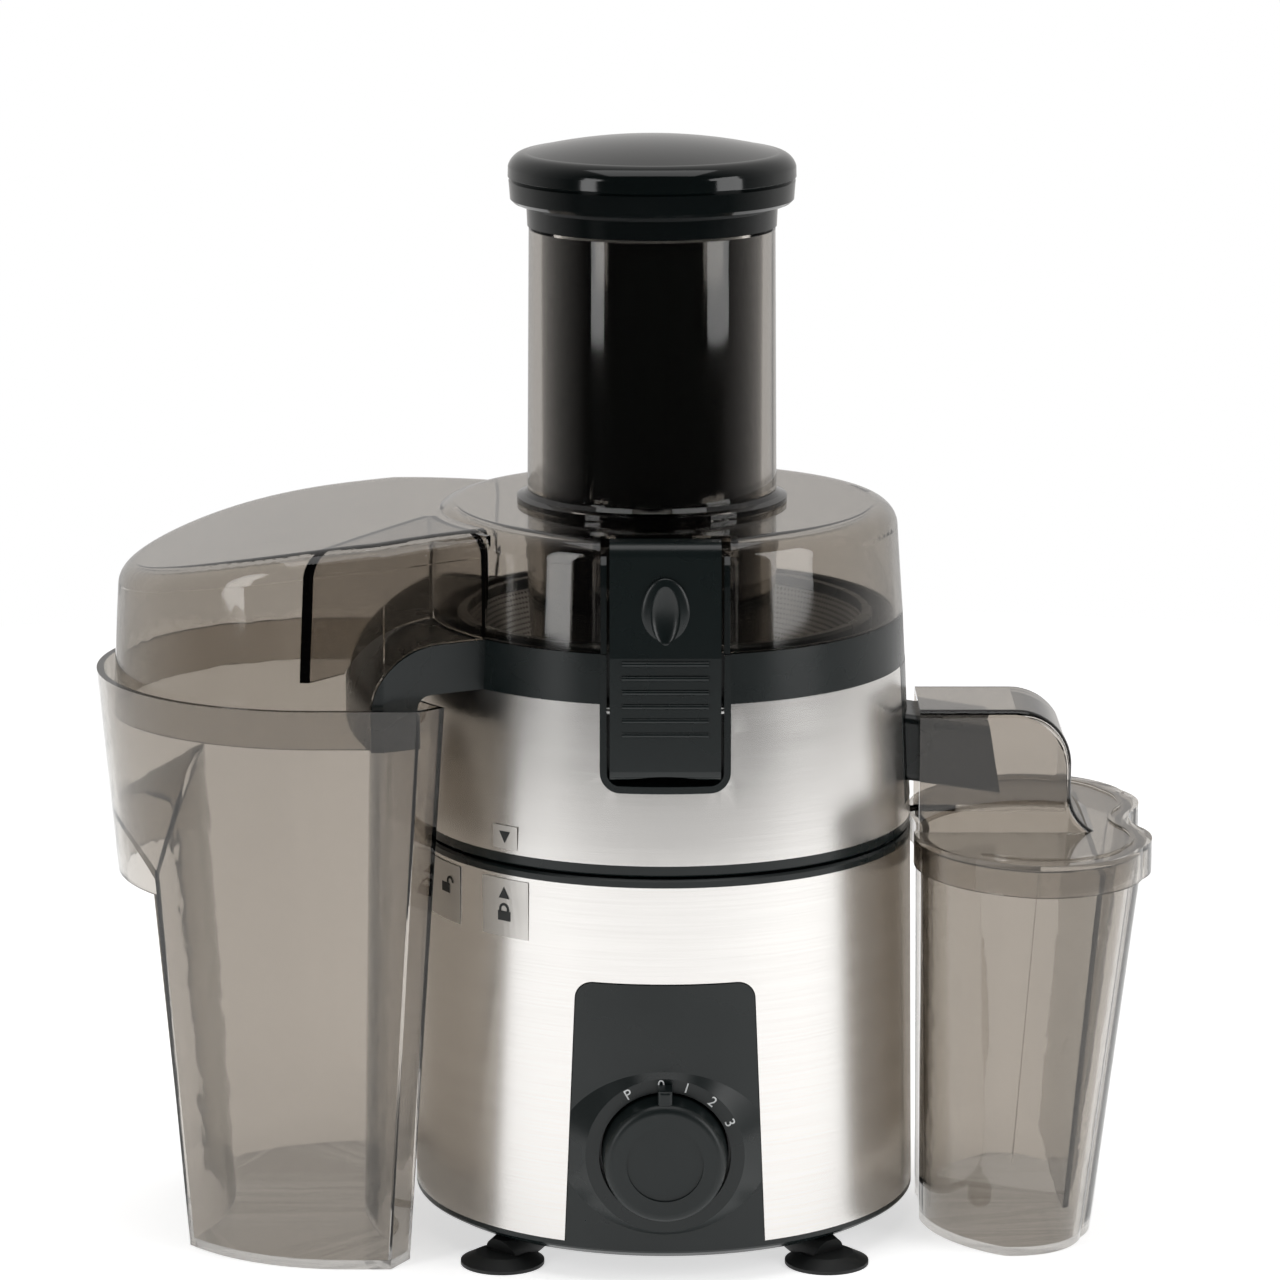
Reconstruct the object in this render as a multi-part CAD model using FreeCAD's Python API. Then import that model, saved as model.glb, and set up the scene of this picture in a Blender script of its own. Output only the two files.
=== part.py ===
"""Centrifugal juicer: every piece as its own solid, one STEP file a piece.

Millimetres, +Z up, the front of the appliance faces -Y. The pieces are drawn about the
drive axis and moved to the shared frame, whose origin is under the middle of the whole
appliance on the surface that it stands on, when they are written.
"""
import FreeCAD, Part

import math
import os

V = FreeCAD.Vector

# ---- Frame ----
AXIS_X = 13.75          # drive axis, to the right of the middle of the whole width

# ---- Base ----
BASE_BOTTOM_R = 91.2    # steel sleeve at its lower edge
BASE_TOP_R = 89.6       # steel sleeve at its upper edge
SLEEVE_Z0 = 14.0
SLEEVE_Z1 = 144.0
SHEET = 0.8             # steel sheet
DECK_Z0 = 140.0
COLLAR_Z1 = 147.0
PANEL_TOP_Z = 109.5
PANEL_TOP_HALF = 31.5
PANEL_BOTTOM_HALF = 35.6
PANEL_CORNER_R = 6.6
PANEL_PROUD = 0.6
PANEL_GAP = 0.3
FOOT_R = 15.0
FOOT_X = 58.0
FOOT_Y = 66.0
FOOT_PLUG = (47.5, 54.1)        # where a foot's neck buttons into the cover
COVER_SCREW_R = 82.0
GLAND_R = 9.0
GLAND_Z = 32.0

# ---- Dial ----
DIAL_Z = 48.0
BOSS_FACE_Y = -93.0     # flat face that carries the speed marks
BOSS_FACE_R = 28.0
KNOB_R = 22.4
KNOB_FRONT_Y = -104.0
WELL_R = 23.2
WELL_FLOOR_Y = -87.0
SPINDLE_R = 3.0

# ---- Bowl ----
BOWL_Z0 = 148.0
BOWL_SLEEVE_Z0 = 151.8
BOWL_SLEEVE_Z1 = 208.5
BOWL_BOTTOM_R = 89.4
BOWL_BAND_R = 87.0
RIM_Z = 226.0
RIM_R = 86.1
BOWL_WALL = 2.6
BOWL_FLOOR_Z = 167.0    # upper face of the juice channel
TOWER_R = 24.0
TOWER_BORE_R = 20.5
TOWER_Z = 173.0

# ---- Latches ----
LATCH_HALF = 19.3
LATCH_Z0 = 182.5
POCKET_HALF = 20.4
FRAME_HALF = 22.8
FRAME_Z0 = 177.5
POCKET_Z0 = 180.0
POCKET_FLOOR_Y = -76.0  # behind the thumb end, which swings inwards
POCKET_UPPER_Y = -81.4  # behind the arm, beside the basket's rim
POCKET_STEP_Z = 214.0
POCKET_WALL = 2.4
FRAME_CORNER_R = 7.0
PIVOT_Y = -83.0
PIVOT_Z = 206.0
PIN_R = 1.5
PIN_FIT = 0.06

# ---- Lid ----
LID_TOP_Z = 265.5
LID_WALL = 2.4
LID_SHOULDER_R = 9.0
LID_UPPER_R = 84.0
NOTCH_HALF = 22.6
NOTCH_Y = -80.0         # back wall of the notch that a latch lies in
LID_GAP = 0.25
LEDGE_Z = 261.5         # ledge that a latch hooks over
LEDGE_Y = -71.0

# ---- Pulp hood and chute ----
SKIRT_Z = 191.0
HOOD_WAIST = (-63.0, 59.0)       # corner where the hood leaves the round lid
HOOD_SHOULDER_X = -98.0
HOOD_END_X = -122.0
HOOD_HALF = 78.3
HOOD_LEFT_X = -199.6
HOOD_DRAFT = 0.06                # inward lean of the hood's walls, mm a mm
CHUTE_R = 24.0
CHUTE_Z = 202.0
CHUTE_FRONT_X = -78.5            # where the chute starts to curve down, at its ends
CHUTE_MIDDLE_X = -91.5
CHUTE_END_Z = 190.0
CHUTE_WALL = 2.4
CHUTE_STEP = 0.4        # the side walls stand this much proud of the curved sheet
BAFFLE_START = (-126.0, -75.0)
BAFFLE_END = (-84.5, -18.6)
BAFFLE_Z0 = 214.0

# ---- Feed tube and pusher ----
TUBE_X = -4.5
TUBE_R = 44.0
TUBE_FOOT_R = 45.0
TUBE_BORE_R = 39.7
TUBE_TOP_Z = 364.7
TUBE_END_Z = 198.0
PUSHER_R = 39.3
PUSHER_Z0 = 194.0
COLLAR_R = 44.5
COLLAR_Z0 = 365.0
CAP_R = 51.4
CAP_SEAM_Z = 381.6
CAP_TOP_Z = 396.5

# ---- Pulp container ----
BIN_RIM_Z = 205.5
BIN_WALL = 2.5
BIN_FLOOR = 3.0
GRIP_Z = 153.0          # crown of the grip's arch at the outer skin
GRIP_LIP_Z = 131.5      # lower edge of the finger lip

# ---- Juice jug ----
JUG_RIM_Z = 144.5
JUG_WALL = 2.4
JUG_FLOOR = 3.0
JUG_LID_Z = 147.5
JUG_LID_WALL = 2.0
JUG_SKIRT_Z = 135.6
SPOUT_HALF = 15.0
SPOUT_WALL = 2.2
JUG_HOOD_HALF = 22.0
JUG_HOOD_TOP_Z = 192.3

# ---- Motor and filter basket ----
SHAFT_R = 4.0
BEARING_FIT = 0.05
STATOR_R = 44.0
STATOR_Z = (60.0, 95.0)
ARMATURE_R = 24.0
BASKET_FOOT_R = 43.0
BASKET_RIM_R = 72.5
BASKET_Z0 = 180.0
BASKET_Z1 = 223.0
BASKET_SHEET = 0.8


# ---- Shape helpers ----
def polygon(points):
    """Closed wire of straight edges through (x, y, z) points."""
    corners = [V(*p) for p in points]
    return Part.makePolygon(corners + corners[:1])


def turned(profile, degrees=360.0):
    """Solid of revolution about Z from (radius, z) corners."""
    face = Part.Face(polygon([(r, 0, z) for r, z in profile]))
    return face.revolve(V(0, 0, 0), V(0, 0, 1), degrees)


def ring(outer, inner, z0, z1):
    """Plain ring about Z."""
    return turned([(inner, z0), (outer, z0), (outer, z1), (inner, z1)])


def rod(radius, start, end):
    """Round bar between two points."""
    run = V(*end) - V(*start)
    return Part.makeCylinder(radius, run.Length, V(*start), run)


def tube(outer, inner, start, end):
    """Round tube between two points."""
    run = V(*end) - V(*start)
    over = run.normalize() * 1.0
    bore_start = V(*start) - over
    bore_end = V(*end) + over
    return rod(outer, start, end).cut(rod(inner, tuple(bore_start), tuple(bore_end)))


def block(x, y, z):
    """Box from (low, high) pairs."""
    return Part.makeBox(x[1] - x[0], y[1] - y[0], z[1] - z[0], V(x[0], y[0], z[0]))


def prism_z(wire, z0, z1):
    """Upright prism on a wire drawn at z = 0."""
    face = Part.Face(wire)
    face.translate(V(0, 0, z0))
    return face.extrude(V(0, 0, z1 - z0))


def prism_y(wire, y0, y1):
    """Prism along Y on a wire drawn at y = 0."""
    face = Part.Face(wire)
    face.translate(V(0, y0, 0))
    return face.extrude(V(0, y1 - y0, 0))


def prism_x(wire, x0, x1):
    """Prism along X on a wire drawn at x = 0."""
    face = Part.Face(wire)
    face.translate(V(x0, 0, 0))
    return face.extrude(V(x1 - x0, 0, 0))


def path(*pieces):
    """Wire of pieces, each two points for a line or three for an arc."""
    edges = []
    for piece in pieces:
        points = [V(*p) for p in piece]
        if len(points) == 2:
            edges.append(Part.makeLine(*points))
        else:
            edges.append(Part.Arc(*points).toShape())
    return Part.Wire(edges)


def mirrored_y(shape):
    """Copy of a shape on the other side of the XZ plane."""
    return shape.mirror(V(0, 0, 0), V(0, 1, 0))


def around(shape, count, start=0.0):
    """Equally spaced copies about the drive axis."""
    copies = []
    for step in range(count):
        copy = shape.copy()
        copy.rotate(V(0, 0, 0), V(0, 0, 1), start + 360.0 * step / count)
        copies.append(copy)
    return copies


def joined(shapes):
    """One solid from overlapping shapes."""
    return shapes[0].multiFuse(shapes[1:]).removeSplitter()


def softened(shape, radius, chosen):
    """Shape with the edges that chosen() picks rounded."""
    edges = [e for e in shape.Edges if chosen(e.BoundBox)]
    return shape.makeFillet(radius, edges)


def sleeve_radius(z):
    """Outer radius of the base sleeve at a height."""
    share = (z - SLEEVE_Z0) / (SLEEVE_Z1 - SLEEVE_Z0)
    return BASE_BOTTOM_R + (BASE_TOP_R - BASE_BOTTOM_R) * share


def bowl_radius(z):
    """Outer radius of the bowl sleeve at a height."""
    share = (z - BOWL_SLEEVE_Z0) / (BOWL_SLEEVE_Z1 - BOWL_SLEEVE_Z0)
    return BOWL_BOTTOM_R + (BOWL_BAND_R - BOWL_BOTTOM_R) * share


# ---- Base ----
def panel_window(gap, z0):
    """Upright prism through the front of the sleeve, in the control panel's outline."""
    top = PANEL_TOP_Z - gap
    half_top = PANEL_TOP_HALF - gap
    half_low = PANEL_BOTTOM_HALF - gap
    wire = polygon([(-half_low, 0, z0), (half_low, 0, z0), (half_top, 0, top), (-half_top, 0, top)])
    body = prism_y(wire, -110.0, -60.0)
    radius = PANEL_CORNER_R - gap
    return softened(body, radius, lambda b: b.ZMin > top - 1 and b.XLength < 1 and b.YLength > 10)


def base_sleeve():
    """Steel sleeve round the base, with the panel's window open at its lower edge."""
    shell = turned([
        (BASE_BOTTOM_R - SHEET, SLEEVE_Z0), (BASE_BOTTOM_R, SLEEVE_Z0),
        (BASE_TOP_R, SLEEVE_Z1), (BASE_TOP_R - SHEET, SLEEVE_Z1)])
    return shell.cut(panel_window(0.0, SLEEVE_Z0 - 2)).cut(gland_bore())


def gland_bore():
    """Hole for the cord gland through the back of the base."""
    return rod(GLAND_R, (0, 80, GLAND_Z), (0, 100, GLAND_Z))


def cover_corners():
    """Places of the six screws that hold the bottom cover."""
    angles = [math.radians(60.0 * step) for step in range(6)]
    return [(COVER_SCREW_R * math.cos(a), COVER_SCREW_R * math.sin(a)) for a in angles]


def base_frame():
    """Moulded inner shell and deck that carry the motor."""
    outer_low = BASE_BOTTOM_R - SHEET
    outer_top = BASE_TOP_R - SHEET
    wall = 2.4
    body = turned([
        (outer_low - wall, SLEEVE_Z0), (outer_low, SLEEVE_Z0), (outer_top, SLEEVE_Z1),
        (14.0, SLEEVE_Z1), (14.0, 150.0), (9.0, 150.0), (9.0, DECK_Z0), (outer_top - wall, DECK_Z0)])
    bosses = [rod(7.0, (x, y, 11.6), (x, y, 26.0)) for x, y in cover_corners()]
    holes = [rod(2.0, (x, y, 120), (x, y, 142.5)) for x, y in motor_corners()]
    holes += [rod(1.5, (x, y, 10), (x, y, 20.0)) for x, y in cover_corners()]
    body = joined([body] + bosses).cut(panel_window(0.0, SLEEVE_Z0 - 2)).cut(gland_bore())
    return body.cut(Part.makeCompound(holes))


def base_collar():
    """Dark band between the base sleeve and the bowl."""
    return turned([(84.0, SLEEVE_Z1), (BASE_TOP_R, SLEEVE_Z1), (BASE_TOP_R, COLLAR_Z1 - 0.8),
                   (BASE_TOP_R - 0.8, COLLAR_Z1), (84.0, COLLAR_Z1)])


def foot_places():
    """Centres of the four feet."""
    return [(x, y) for x in (-FOOT_X, FOOT_X) for y in (-FOOT_Y, FOOT_Y)]


def plug_places():
    """Places where the feet button into the cover, in the order of foot_places()."""
    x, y = FOOT_PLUG
    return [(math.copysign(x, fx), math.copysign(y, fy)) for fx, fy in foot_places()]


def bottom_cover():
    """Dished cover under the base, with cooling slots and foot seats."""
    dish = turned([
        (0, 9.0), (86.5, 9.0), (BASE_BOTTOM_R - 0.6, 11.4), (BASE_BOTTOM_R, 12.2),
        (BASE_BOTTOM_R, SLEEVE_Z0), (BASE_BOTTOM_R - 2.0, SLEEVE_Z0), (BASE_BOTTOM_R - 2.0, 11.6), (0, 11.6)])
    slot = block((22.0, 44.0), (-1.6, 1.6), (8.0, 13.0))
    slots = Part.makeCompound(around(slot, 16, 11.25))
    holes = [rod(6.2, (x, y, 8.0), (x, y, 13.0)) for x, y in plug_places()]
    for x, y in cover_corners():
        holes += [rod(3.2, (x, y, 8.0), (x, y, 10.6)), rod(1.5, (x, y, 8.0), (x, y, 13.0))]
    return dish.cut(slots).cut(Part.makeCompound(holes))


def suction_feet():
    """Four rubber feet: a soft disc on a leaning neck that buttons into the cover."""
    cup = [(0, 1.4), (9.0, 1.4), (13.6, 0), (FOOT_R, 0), (FOOT_R, 1.2), (9.5, 4.0), (0, 4.0)]
    plug = [(0, 6.6), (9.6, 6.6), (10.4, 7.4), (10.4, 9.0), (6.2, 9.0), (6.2, 11.6), (7.4, 11.6), (6.4, 13.4), (0, 13.4)]
    feet = []
    for (x, y), (px, py) in zip(foot_places(), plug_places()):
        disc = turned(cup)
        disc.translate(V(x, y, 0))
        button = turned(plug)
        button.translate(V(px, py, 0))
        neck = rod(7.4, (x, y, 2.2), (px, py, 8.2)).common(block((-120, 120), (-120, 120), (2.0, 8.9)))
        feet.append(joined([disc, neck, button]))
    return Part.makeCompound(feet)


def bottom_screws():
    """Six screws that hold the bottom cover."""
    profile = [(0, 9.2), (2.6, 9.2), (3.2, 9.7), (3.2, 10.6), (1.5, 10.6), (1.5, 20.0), (0, 20.0)]
    screws = []
    for x, y in cover_corners():
        screw = turned(profile)
        screw.translate(V(x, y, 0))
        recess = block((x - 2.0, x + 2.0), (y - 0.35, y + 0.35), (9.0, 10.0))
        screws.append(screw.cut(recess))
    return Part.makeCompound(screws)


def control_panel():
    """Curved panel in the sleeve's window, with the flat boss and well of the dial."""
    proud_low = BASE_BOTTOM_R + PANEL_PROUD
    proud_top = sleeve_radius(PANEL_TOP_Z) + PANEL_PROUD
    skin = turned([(proud_low - 5.0, SLEEVE_Z0), (proud_low, SLEEVE_Z0),
                   (proud_top, PANEL_TOP_Z), (proud_top - 5.0, PANEL_TOP_Z)])
    skin = skin.common(panel_window(PANEL_GAP, SLEEVE_Z0 - 2))
    skin = skin.cut(turned([(0, SLEEVE_Z0 - 1), (proud_low - 3.6, SLEEVE_Z0 - 1),
                            (proud_top - 3.6, PANEL_TOP_Z + 1), (0, PANEL_TOP_Z + 1)]))
    flank = Part.makeCone(BOSS_FACE_R + 8.0, BOSS_FACE_R, 8.0, V(0, BOSS_FACE_Y + 8.0, DIAL_Z), V(0, -1, 0))
    inside = panel_window(PANEL_GAP, SLEEVE_Z0)
    behind = Part.makeCylinder(BASE_BOTTOM_R - 4.5, 120.0, V(0, 0, 5))
    boss = flank.common(inside).cut(behind)
    seat = rod(WELL_R + 2.2, (0, WELL_FLOOR_Y + 2.2, DIAL_Z), (0, BOSS_FACE_Y + 2, DIAL_Z))
    well = rod(WELL_R, (0, WELL_FLOOR_Y, DIAL_Z), (0, BOSS_FACE_Y - 3, DIAL_Z))
    bore = rod(SPINDLE_R + 0.4, (0, -110, DIAL_Z), (0, -60, DIAL_Z))
    return joined([skin, boss, seat]).cut(well).cut(bore)


def dial_knob():
    """Speed knob with a pointer rib and a shallow round dish in its face."""
    back_y = WELL_FLOOR_Y - 0.6
    front_y = KNOB_FRONT_Y
    face = Part.Face(path(
        ((0, back_y, 0), (KNOB_R, back_y, 0)), ((KNOB_R, back_y, 0), (KNOB_R - 1.0, front_y + 3.0, 0)),
        ((KNOB_R - 1.0, front_y + 3.0, 0), (KNOB_R - 1.9, front_y + 0.9, 0), (KNOB_R - 4.0, front_y, 0)),
        ((KNOB_R - 4.0, front_y, 0), (0, front_y, 0)), ((0, front_y, 0), (0, back_y, 0))))
    knob = face.revolve(V(0, 0, 0), V(0, 1, 0), 360.0)
    knob.translate(V(0, 0, DIAL_Z))
    pointer = block((-2.5, 2.5), (front_y + 1.6, BOSS_FACE_Y - 0.4), (DIAL_Z + 12.0, DIAL_Z + 26.0))
    pointer = softened(pointer, 1.2, lambda b: b.YMin < front_y + 2 and b.YLength < 1)
    dish = rod(13.5, (0, front_y + 0.8, DIAL_Z), (0, front_y - 1, DIAL_Z))
    socket = rod(SPINDLE_R, (0, -99.0, DIAL_Z), (0, -60, DIAL_Z))
    return knob.fuse(pointer).cut(dish).cut(socket).removeSplitter()


def dial_spindle():
    """Spindle from the knob into the switch."""
    return rod(SPINDLE_R, (0, -99.0, DIAL_Z), (0, -72.0, DIAL_Z))


def speed_switch():
    """Rotary switch behind the panel."""
    body = softened(block((-14, 14), (-82.0, -64.0), (DIAL_Z - 14, DIAL_Z + 14)), 2.0, lambda b: b.YLength > 10)
    bore = rod(SPINDLE_R + 0.05, (0, -85, DIAL_Z), (0, -71.5, DIAL_Z))
    tags = [block((x - 1.5, x + 1.5), (-64.0, -58.0), (DIAL_Z - 8, DIAL_Z - 7)) for x in (-9, -3, 3, 9)]
    return joined([body.cut(bore)] + tags)


def interlock_switch():
    """Safety switch under the deck, closed by the seated bowl."""
    body = block((52.0, 72.0), (30.0, 38.0), (126.0, DECK_Z0))
    tags = [block((x - 1.0, x + 1.0), (33.0, 35.0), (120.0, 126.0)) for x in (55.0, 62.0, 69.0)]
    return joined([body] + tags)


def cord_gland():
    """Strain-relief gland in the back wall, bored for the lead."""
    z = GLAND_Z
    parts = [rod(GLAND_R, (0, 84.0, z), (0, 92.0, z)), rod(GLAND_R + 2, (0, 91.3, z), (0, 94.0, z)),
             Part.makeCone(7.0, 5.0, 10.0, V(0, 94.0, z), V(0, 1, 0)),
             rod(GLAND_R + 2, (0, 84.0, z), (0, 86.2, z))]
    return joined(parts).cut(rod(3.6, (0, 80, z), (0, 110, z)))


# ---- Motor ----
def motor_corners():
    """Places of the four motor screws."""
    return [(x, y) for x in (-28.3, 28.3) for y in (-28.3, 28.3)]


def motor_stator():
    """Laminated field ring with two poles."""
    z0, z1 = STATOR_Z
    yoke = ring(STATOR_R, 37.0, z0, z1)
    poles = ring(38.0, ARMATURE_R + 0.8, z0, z1)
    gap = block((-50, 50), (-14, 14), (z0 - 1, z1 + 1))
    return joined([yoke, poles.cut(gap)])


def stator_coils():
    """Field windings wrapped over the ends of the poles."""
    coils = []
    for z0, z1 in ((52.0, STATOR_Z[0]), (STATOR_Z[1], 102.0)):
        band = ring(35.0, ARMATURE_R + 2.5, z0, z1)
        band = band.cut(block((-50, 50), (-10, 10), (z0 - 1, z1 + 1)))
        coils += band.Solids
    return Part.makeCompound(coils)


def upper_bracket():
    """Upper bearing bracket with four posts on the field ring."""
    plate = ring(46.0, 12.0, 119.0, 122.0)
    cup = joined([ring(15.0, 11.0, 112.5, 119.0), ring(15.0, 6.0, 119.0, 122.0)])
    posts = [rod(3.8, (x, y, STATOR_Z[1]), (x, y, 119.5)) for x, y in motor_corners()]
    body = joined([plate, cup] + posts)
    holes = [rod(2.0, (x, y, 90.0), (x, y, 125.0)) for x, y in motor_corners()]
    vents = around(block((19.0, 30.0), (-4, 4), (118.0, 123.0)), 4, 0.0)
    return body.cut(Part.makeCompound(holes + vents))


def lower_bracket():
    """Lower bearing bridge with four posts under the field ring."""
    bar = joined([block((-34, 34), (-34, 34), (26.0, 28.5)), ring(14.0, 11.0, 28.0, 35.0)])
    posts = [rod(3.8, (x, y, 28.0), (x, y, STATOR_Z[0])) for x, y in motor_corners()]
    body = joined([bar] + posts)
    windows = [block((16.0, 30.0), (-18, 18), (20, 30)), block((-30, -16), (-18, 18), (20, 30))]
    return body.cut(rod(5.5, (0, 0, 20), (0, 0, 28.6))).cut(Part.makeCompound(windows))


def motor_bearings():
    """Lower and upper ball bearings, drawn as plain rings."""
    bore = SHAFT_R + BEARING_FIT
    return Part.makeCompound([ring(11.0, bore, 28.5, 35.0), ring(11.0, bore, 112.5, 119.0)])


def motor_dampers():
    """Rubber bushes between the bracket and the deck."""
    return Part.makeCompound([tube(6.0, 2.0, (x, y, 122.0), (x, y, DECK_Z0)) for x, y in motor_corners()])


def motor_screws():
    """Long screws from the bracket into the deck."""
    return Part.makeCompound([rod(2.0, (x, y, 96.0), (x, y, 142.5)) for x, y in motor_corners()])


def brush_holders():
    """Two brush guides beside the commutator."""
    holders = []
    for side in (-1, 1):
        sleeve = block((13.5, 33.0), (-5.0, 5.0), (39.0, 49.0))
        bore = block((12.0, 31.0), (-3.2, 3.2), (41.0, 47.0))
        foot = block((20.0, 30.0), (-5.0, 5.0), (36.0, 39.0))
        holder = joined([sleeve.cut(bore), foot])
        holder.rotate(V(0, 0, 0), V(0, 0, 1), 90.0 * side)
        holders.append(holder)
    return Part.makeCompound(holders)


def carbon_brushes():
    """Carbon brushes held just off the commutator."""
    brushes = []
    for side in (-1, 1):
        brush = block((12.4, 25.0), (-3.2, 3.2), (41.0, 47.0))
        brush.rotate(V(0, 0, 0), V(0, 0, 1), 90.0 * side)
        brushes.append(brush)
    return Part.makeCompound(brushes)


def motor_shaft():
    """Motor shaft with its threaded upper end."""
    return turned([(0, 27.0), (SHAFT_R, 27.0), (SHAFT_R, 158.0), (3.0, 159.0), (0, 159.0)])


def armature_core():
    """Slotted lamination stack on the shaft."""
    core = ring(ARMATURE_R, SHAFT_R, *STATOR_Z)
    slot = joined([block((18.0, 30.0), (-1.0, 1.0), (50, 105)), rod(2.6, (17.5, 0, 50), (17.5, 0, 105))])
    return core.cut(Part.makeCompound(around(slot, 12)))


def armature_windings():
    """Copper end turns above and below the lamination stack."""
    low = turned([(8.0, 51.5), (17.0, 51.5), (20.5, 55.0), (20.5, STATOR_Z[0]), (8.0, STATOR_Z[0])])
    high = turned([(8.0, STATOR_Z[1]), (20.5, STATOR_Z[1]), (20.5, 99.5), (17.0, 102.5), (8.0, 102.5)])
    return Part.makeCompound([low, high])


def commutator():
    """Segmented copper commutator."""
    body = ring(12.0, SHAFT_R, 38.0, 50.0)
    slot = block((11.2, 13.0), (-0.3, 0.3), (37.0, 51.0))
    return body.cut(Part.makeCompound(around(slot, 24)))


def cooling_fan():
    """Radial fan above the armature."""
    plate = ring(33.0, SHAFT_R, 104.0, 105.6)
    blade = block((12.0, 32.5), (-0.8, 0.8), (105.0, 111.0))
    hub = ring(9.0, SHAFT_R, 104.0, 111.0)
    return joined([plate, hub] + around(blade, 12))


def shaft_seal():
    """Lip seal between the deck and the shaft."""
    return ring(9.0, SHAFT_R + 0.3, DECK_Z0 + 1.0, 149.0)


def drive_coupling():
    """Toothed coupling that carries the filter basket."""
    body = turned([(SHAFT_R, 152.0), (15.0, 152.0), (17.0, 154.0), (17.0, 160.0), (13.0, 161.0),
                   (13.0, 172.0), (0, 172.0), (0, 159.0), (3.0, 159.0), (SHAFT_R, 158.0)])
    tooth = block((12.0, 15.5), (-2.0, 2.0), (160.5, 170.0))
    return joined([body] + around(tooth, 6))


# ---- Filter basket ----
def basket_hub():
    """Plastic hub that drops over the coupling."""
    return turned([(15.6, 174.5), (27.5, 174.5), (27.5, 169.0), (30.0, 169.0), (30.0, 174.5),
                   (BASKET_FOOT_R, 177.0), (BASKET_FOOT_R, BASKET_Z0), (0, BASKET_Z0), (0, 172.1), (15.6, 172.1)])


def grater_disc():
    """Grating plate with rings of raised teeth."""
    plate = ring(BASKET_FOOT_R - 1.2, 5.0, BASKET_Z0, BASKET_Z0 + 1.2)
    boss = turned([(0, BASKET_Z0), (5.2, BASKET_Z0), (5.2, BASKET_Z0 + 3.4), (3.6, BASKET_Z0 + 4.4),
                   (0, BASKET_Z0 + 4.4)])
    tooth = Part.makeWedge(0, 0, 0, 0, 1.3, 3.2, 1.8, 2.4, 0.6, 2.0)
    teeth = []
    for radius, count in ((12.0, 10), (20.0, 16), (28.0, 22), (36.0, 28)):
        placed = tooth.copy()
        placed.translate(V(radius, -1.2, BASKET_Z0 + 1.1))
        teeth += around(placed, count, 4.0 * radius)
    return joined([plate, boss] + teeth)


def basket_mesh():
    """Conical sieve wall."""
    return turned([(BASKET_FOOT_R, BASKET_Z0), (BASKET_FOOT_R + BASKET_SHEET, BASKET_Z0),
                   (BASKET_RIM_R + BASKET_SHEET, BASKET_Z1), (BASKET_RIM_R, BASKET_Z1)])


def basket_rim():
    """Plastic rim that stiffens the sieve."""
    rim = turned([(BASKET_RIM_R - 1.0, BASKET_Z1), (BASKET_RIM_R + 2.2, BASKET_Z1 - 2.0),
                   (BASKET_RIM_R + 2.6, BASKET_Z1 + 2.6), (BASKET_RIM_R + 1.6, BASKET_Z1 + 3.6),
                   (BASKET_RIM_R - 1.0, BASKET_Z1 + 3.6)])
    return rim.cut(basket_mesh())


# ---- Bowl ----
def latch_block(half, z0, y_out, y_in, z1, corner):
    """Upright block at the front with its two lower corners rounded."""
    body = block((-half, half), (y_out, y_in), (z0, z1))
    return softened(body, corner, lambda b: b.ZMax < z0 + 1 and b.XLength < 1)


def pocket_solid(half, y_out, z0, z1, corner, grow):
    """Latch pocket with a deep lower part, grown by a wall on its back."""
    deep = latch_block(half, z0, y_out, POCKET_FLOOR_Y + grow, z1, corner)
    return deep.cut(block((-half - 1, half + 1), (POCKET_UPPER_Y + grow, 0), (POCKET_STEP_Z + grow, z1 + 1)))


def both_sides(shape):
    """A front piece and its copy turned to the rear."""
    rear = shape.copy()
    rear.rotate(V(0, 0, 0), V(0, 0, 1), 180.0)
    return [shape, rear]


def hood_plan(z, inset):
    """Outline of the pulp hood at a height."""
    lean = HOOD_DRAFT * (z - SKIRT_Z) + inset
    waist_x = HOOD_WAIST[0] + 12.0
    waist_y = HOOD_WAIST[1] - 7.0 - inset
    half = HOOD_HALF - lean
    left = HOOD_LEFT_X + lean
    a = (waist_x, -waist_y, z)
    b = (HOOD_SHOULDER_X, -half, z)
    c = (HOOD_END_X, -half, z)
    d = (left, 0, z)
    e = (HOOD_END_X, half, z)
    f = (HOOD_SHOULDER_X, half, z)
    g = (waist_x, waist_y, z)
    return path((a, b), (b, c), (c, d, e), (e, f), (f, g), (g, a))


def hood_prism(z0, z1, inset):
    """Solid inside the hood's walls between two heights."""
    return Part.makeLoft([hood_plan(z0, inset), hood_plan(z1, inset)], True, True)


def chute_outline(radius, start_x, y):
    """Arc points of the chute's section at a radius, with its left and top limits."""
    left = start_x - radius
    k = math.sqrt(0.5) * radius
    top = CHUTE_Z + radius
    return ((start_x, y, top), (start_x - k, y, CHUTE_Z + k), (left, y, CHUTE_Z)), left, top


def chute_section(start_x, y):
    """Closed section of the chute's curved sheet."""
    inner_r = CHUTE_R - CHUTE_STEP - CHUTE_WALL
    outer, left, top = chute_outline(CHUTE_R - CHUTE_STEP, start_x, y)
    inner, inner_left, inner_top = chute_outline(inner_r, start_x, y)
    a = (-60.0, y, top)
    b = (left, y, CHUTE_END_Z)
    c = (inner_left, y, CHUTE_END_Z)
    d = (-60.0, y, inner_top)
    return path((a, outer[0]), outer, (outer[2], b), (b, c), (c, inner[2]),
                inner[::-1], (inner[0], d), (d, a))


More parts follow.
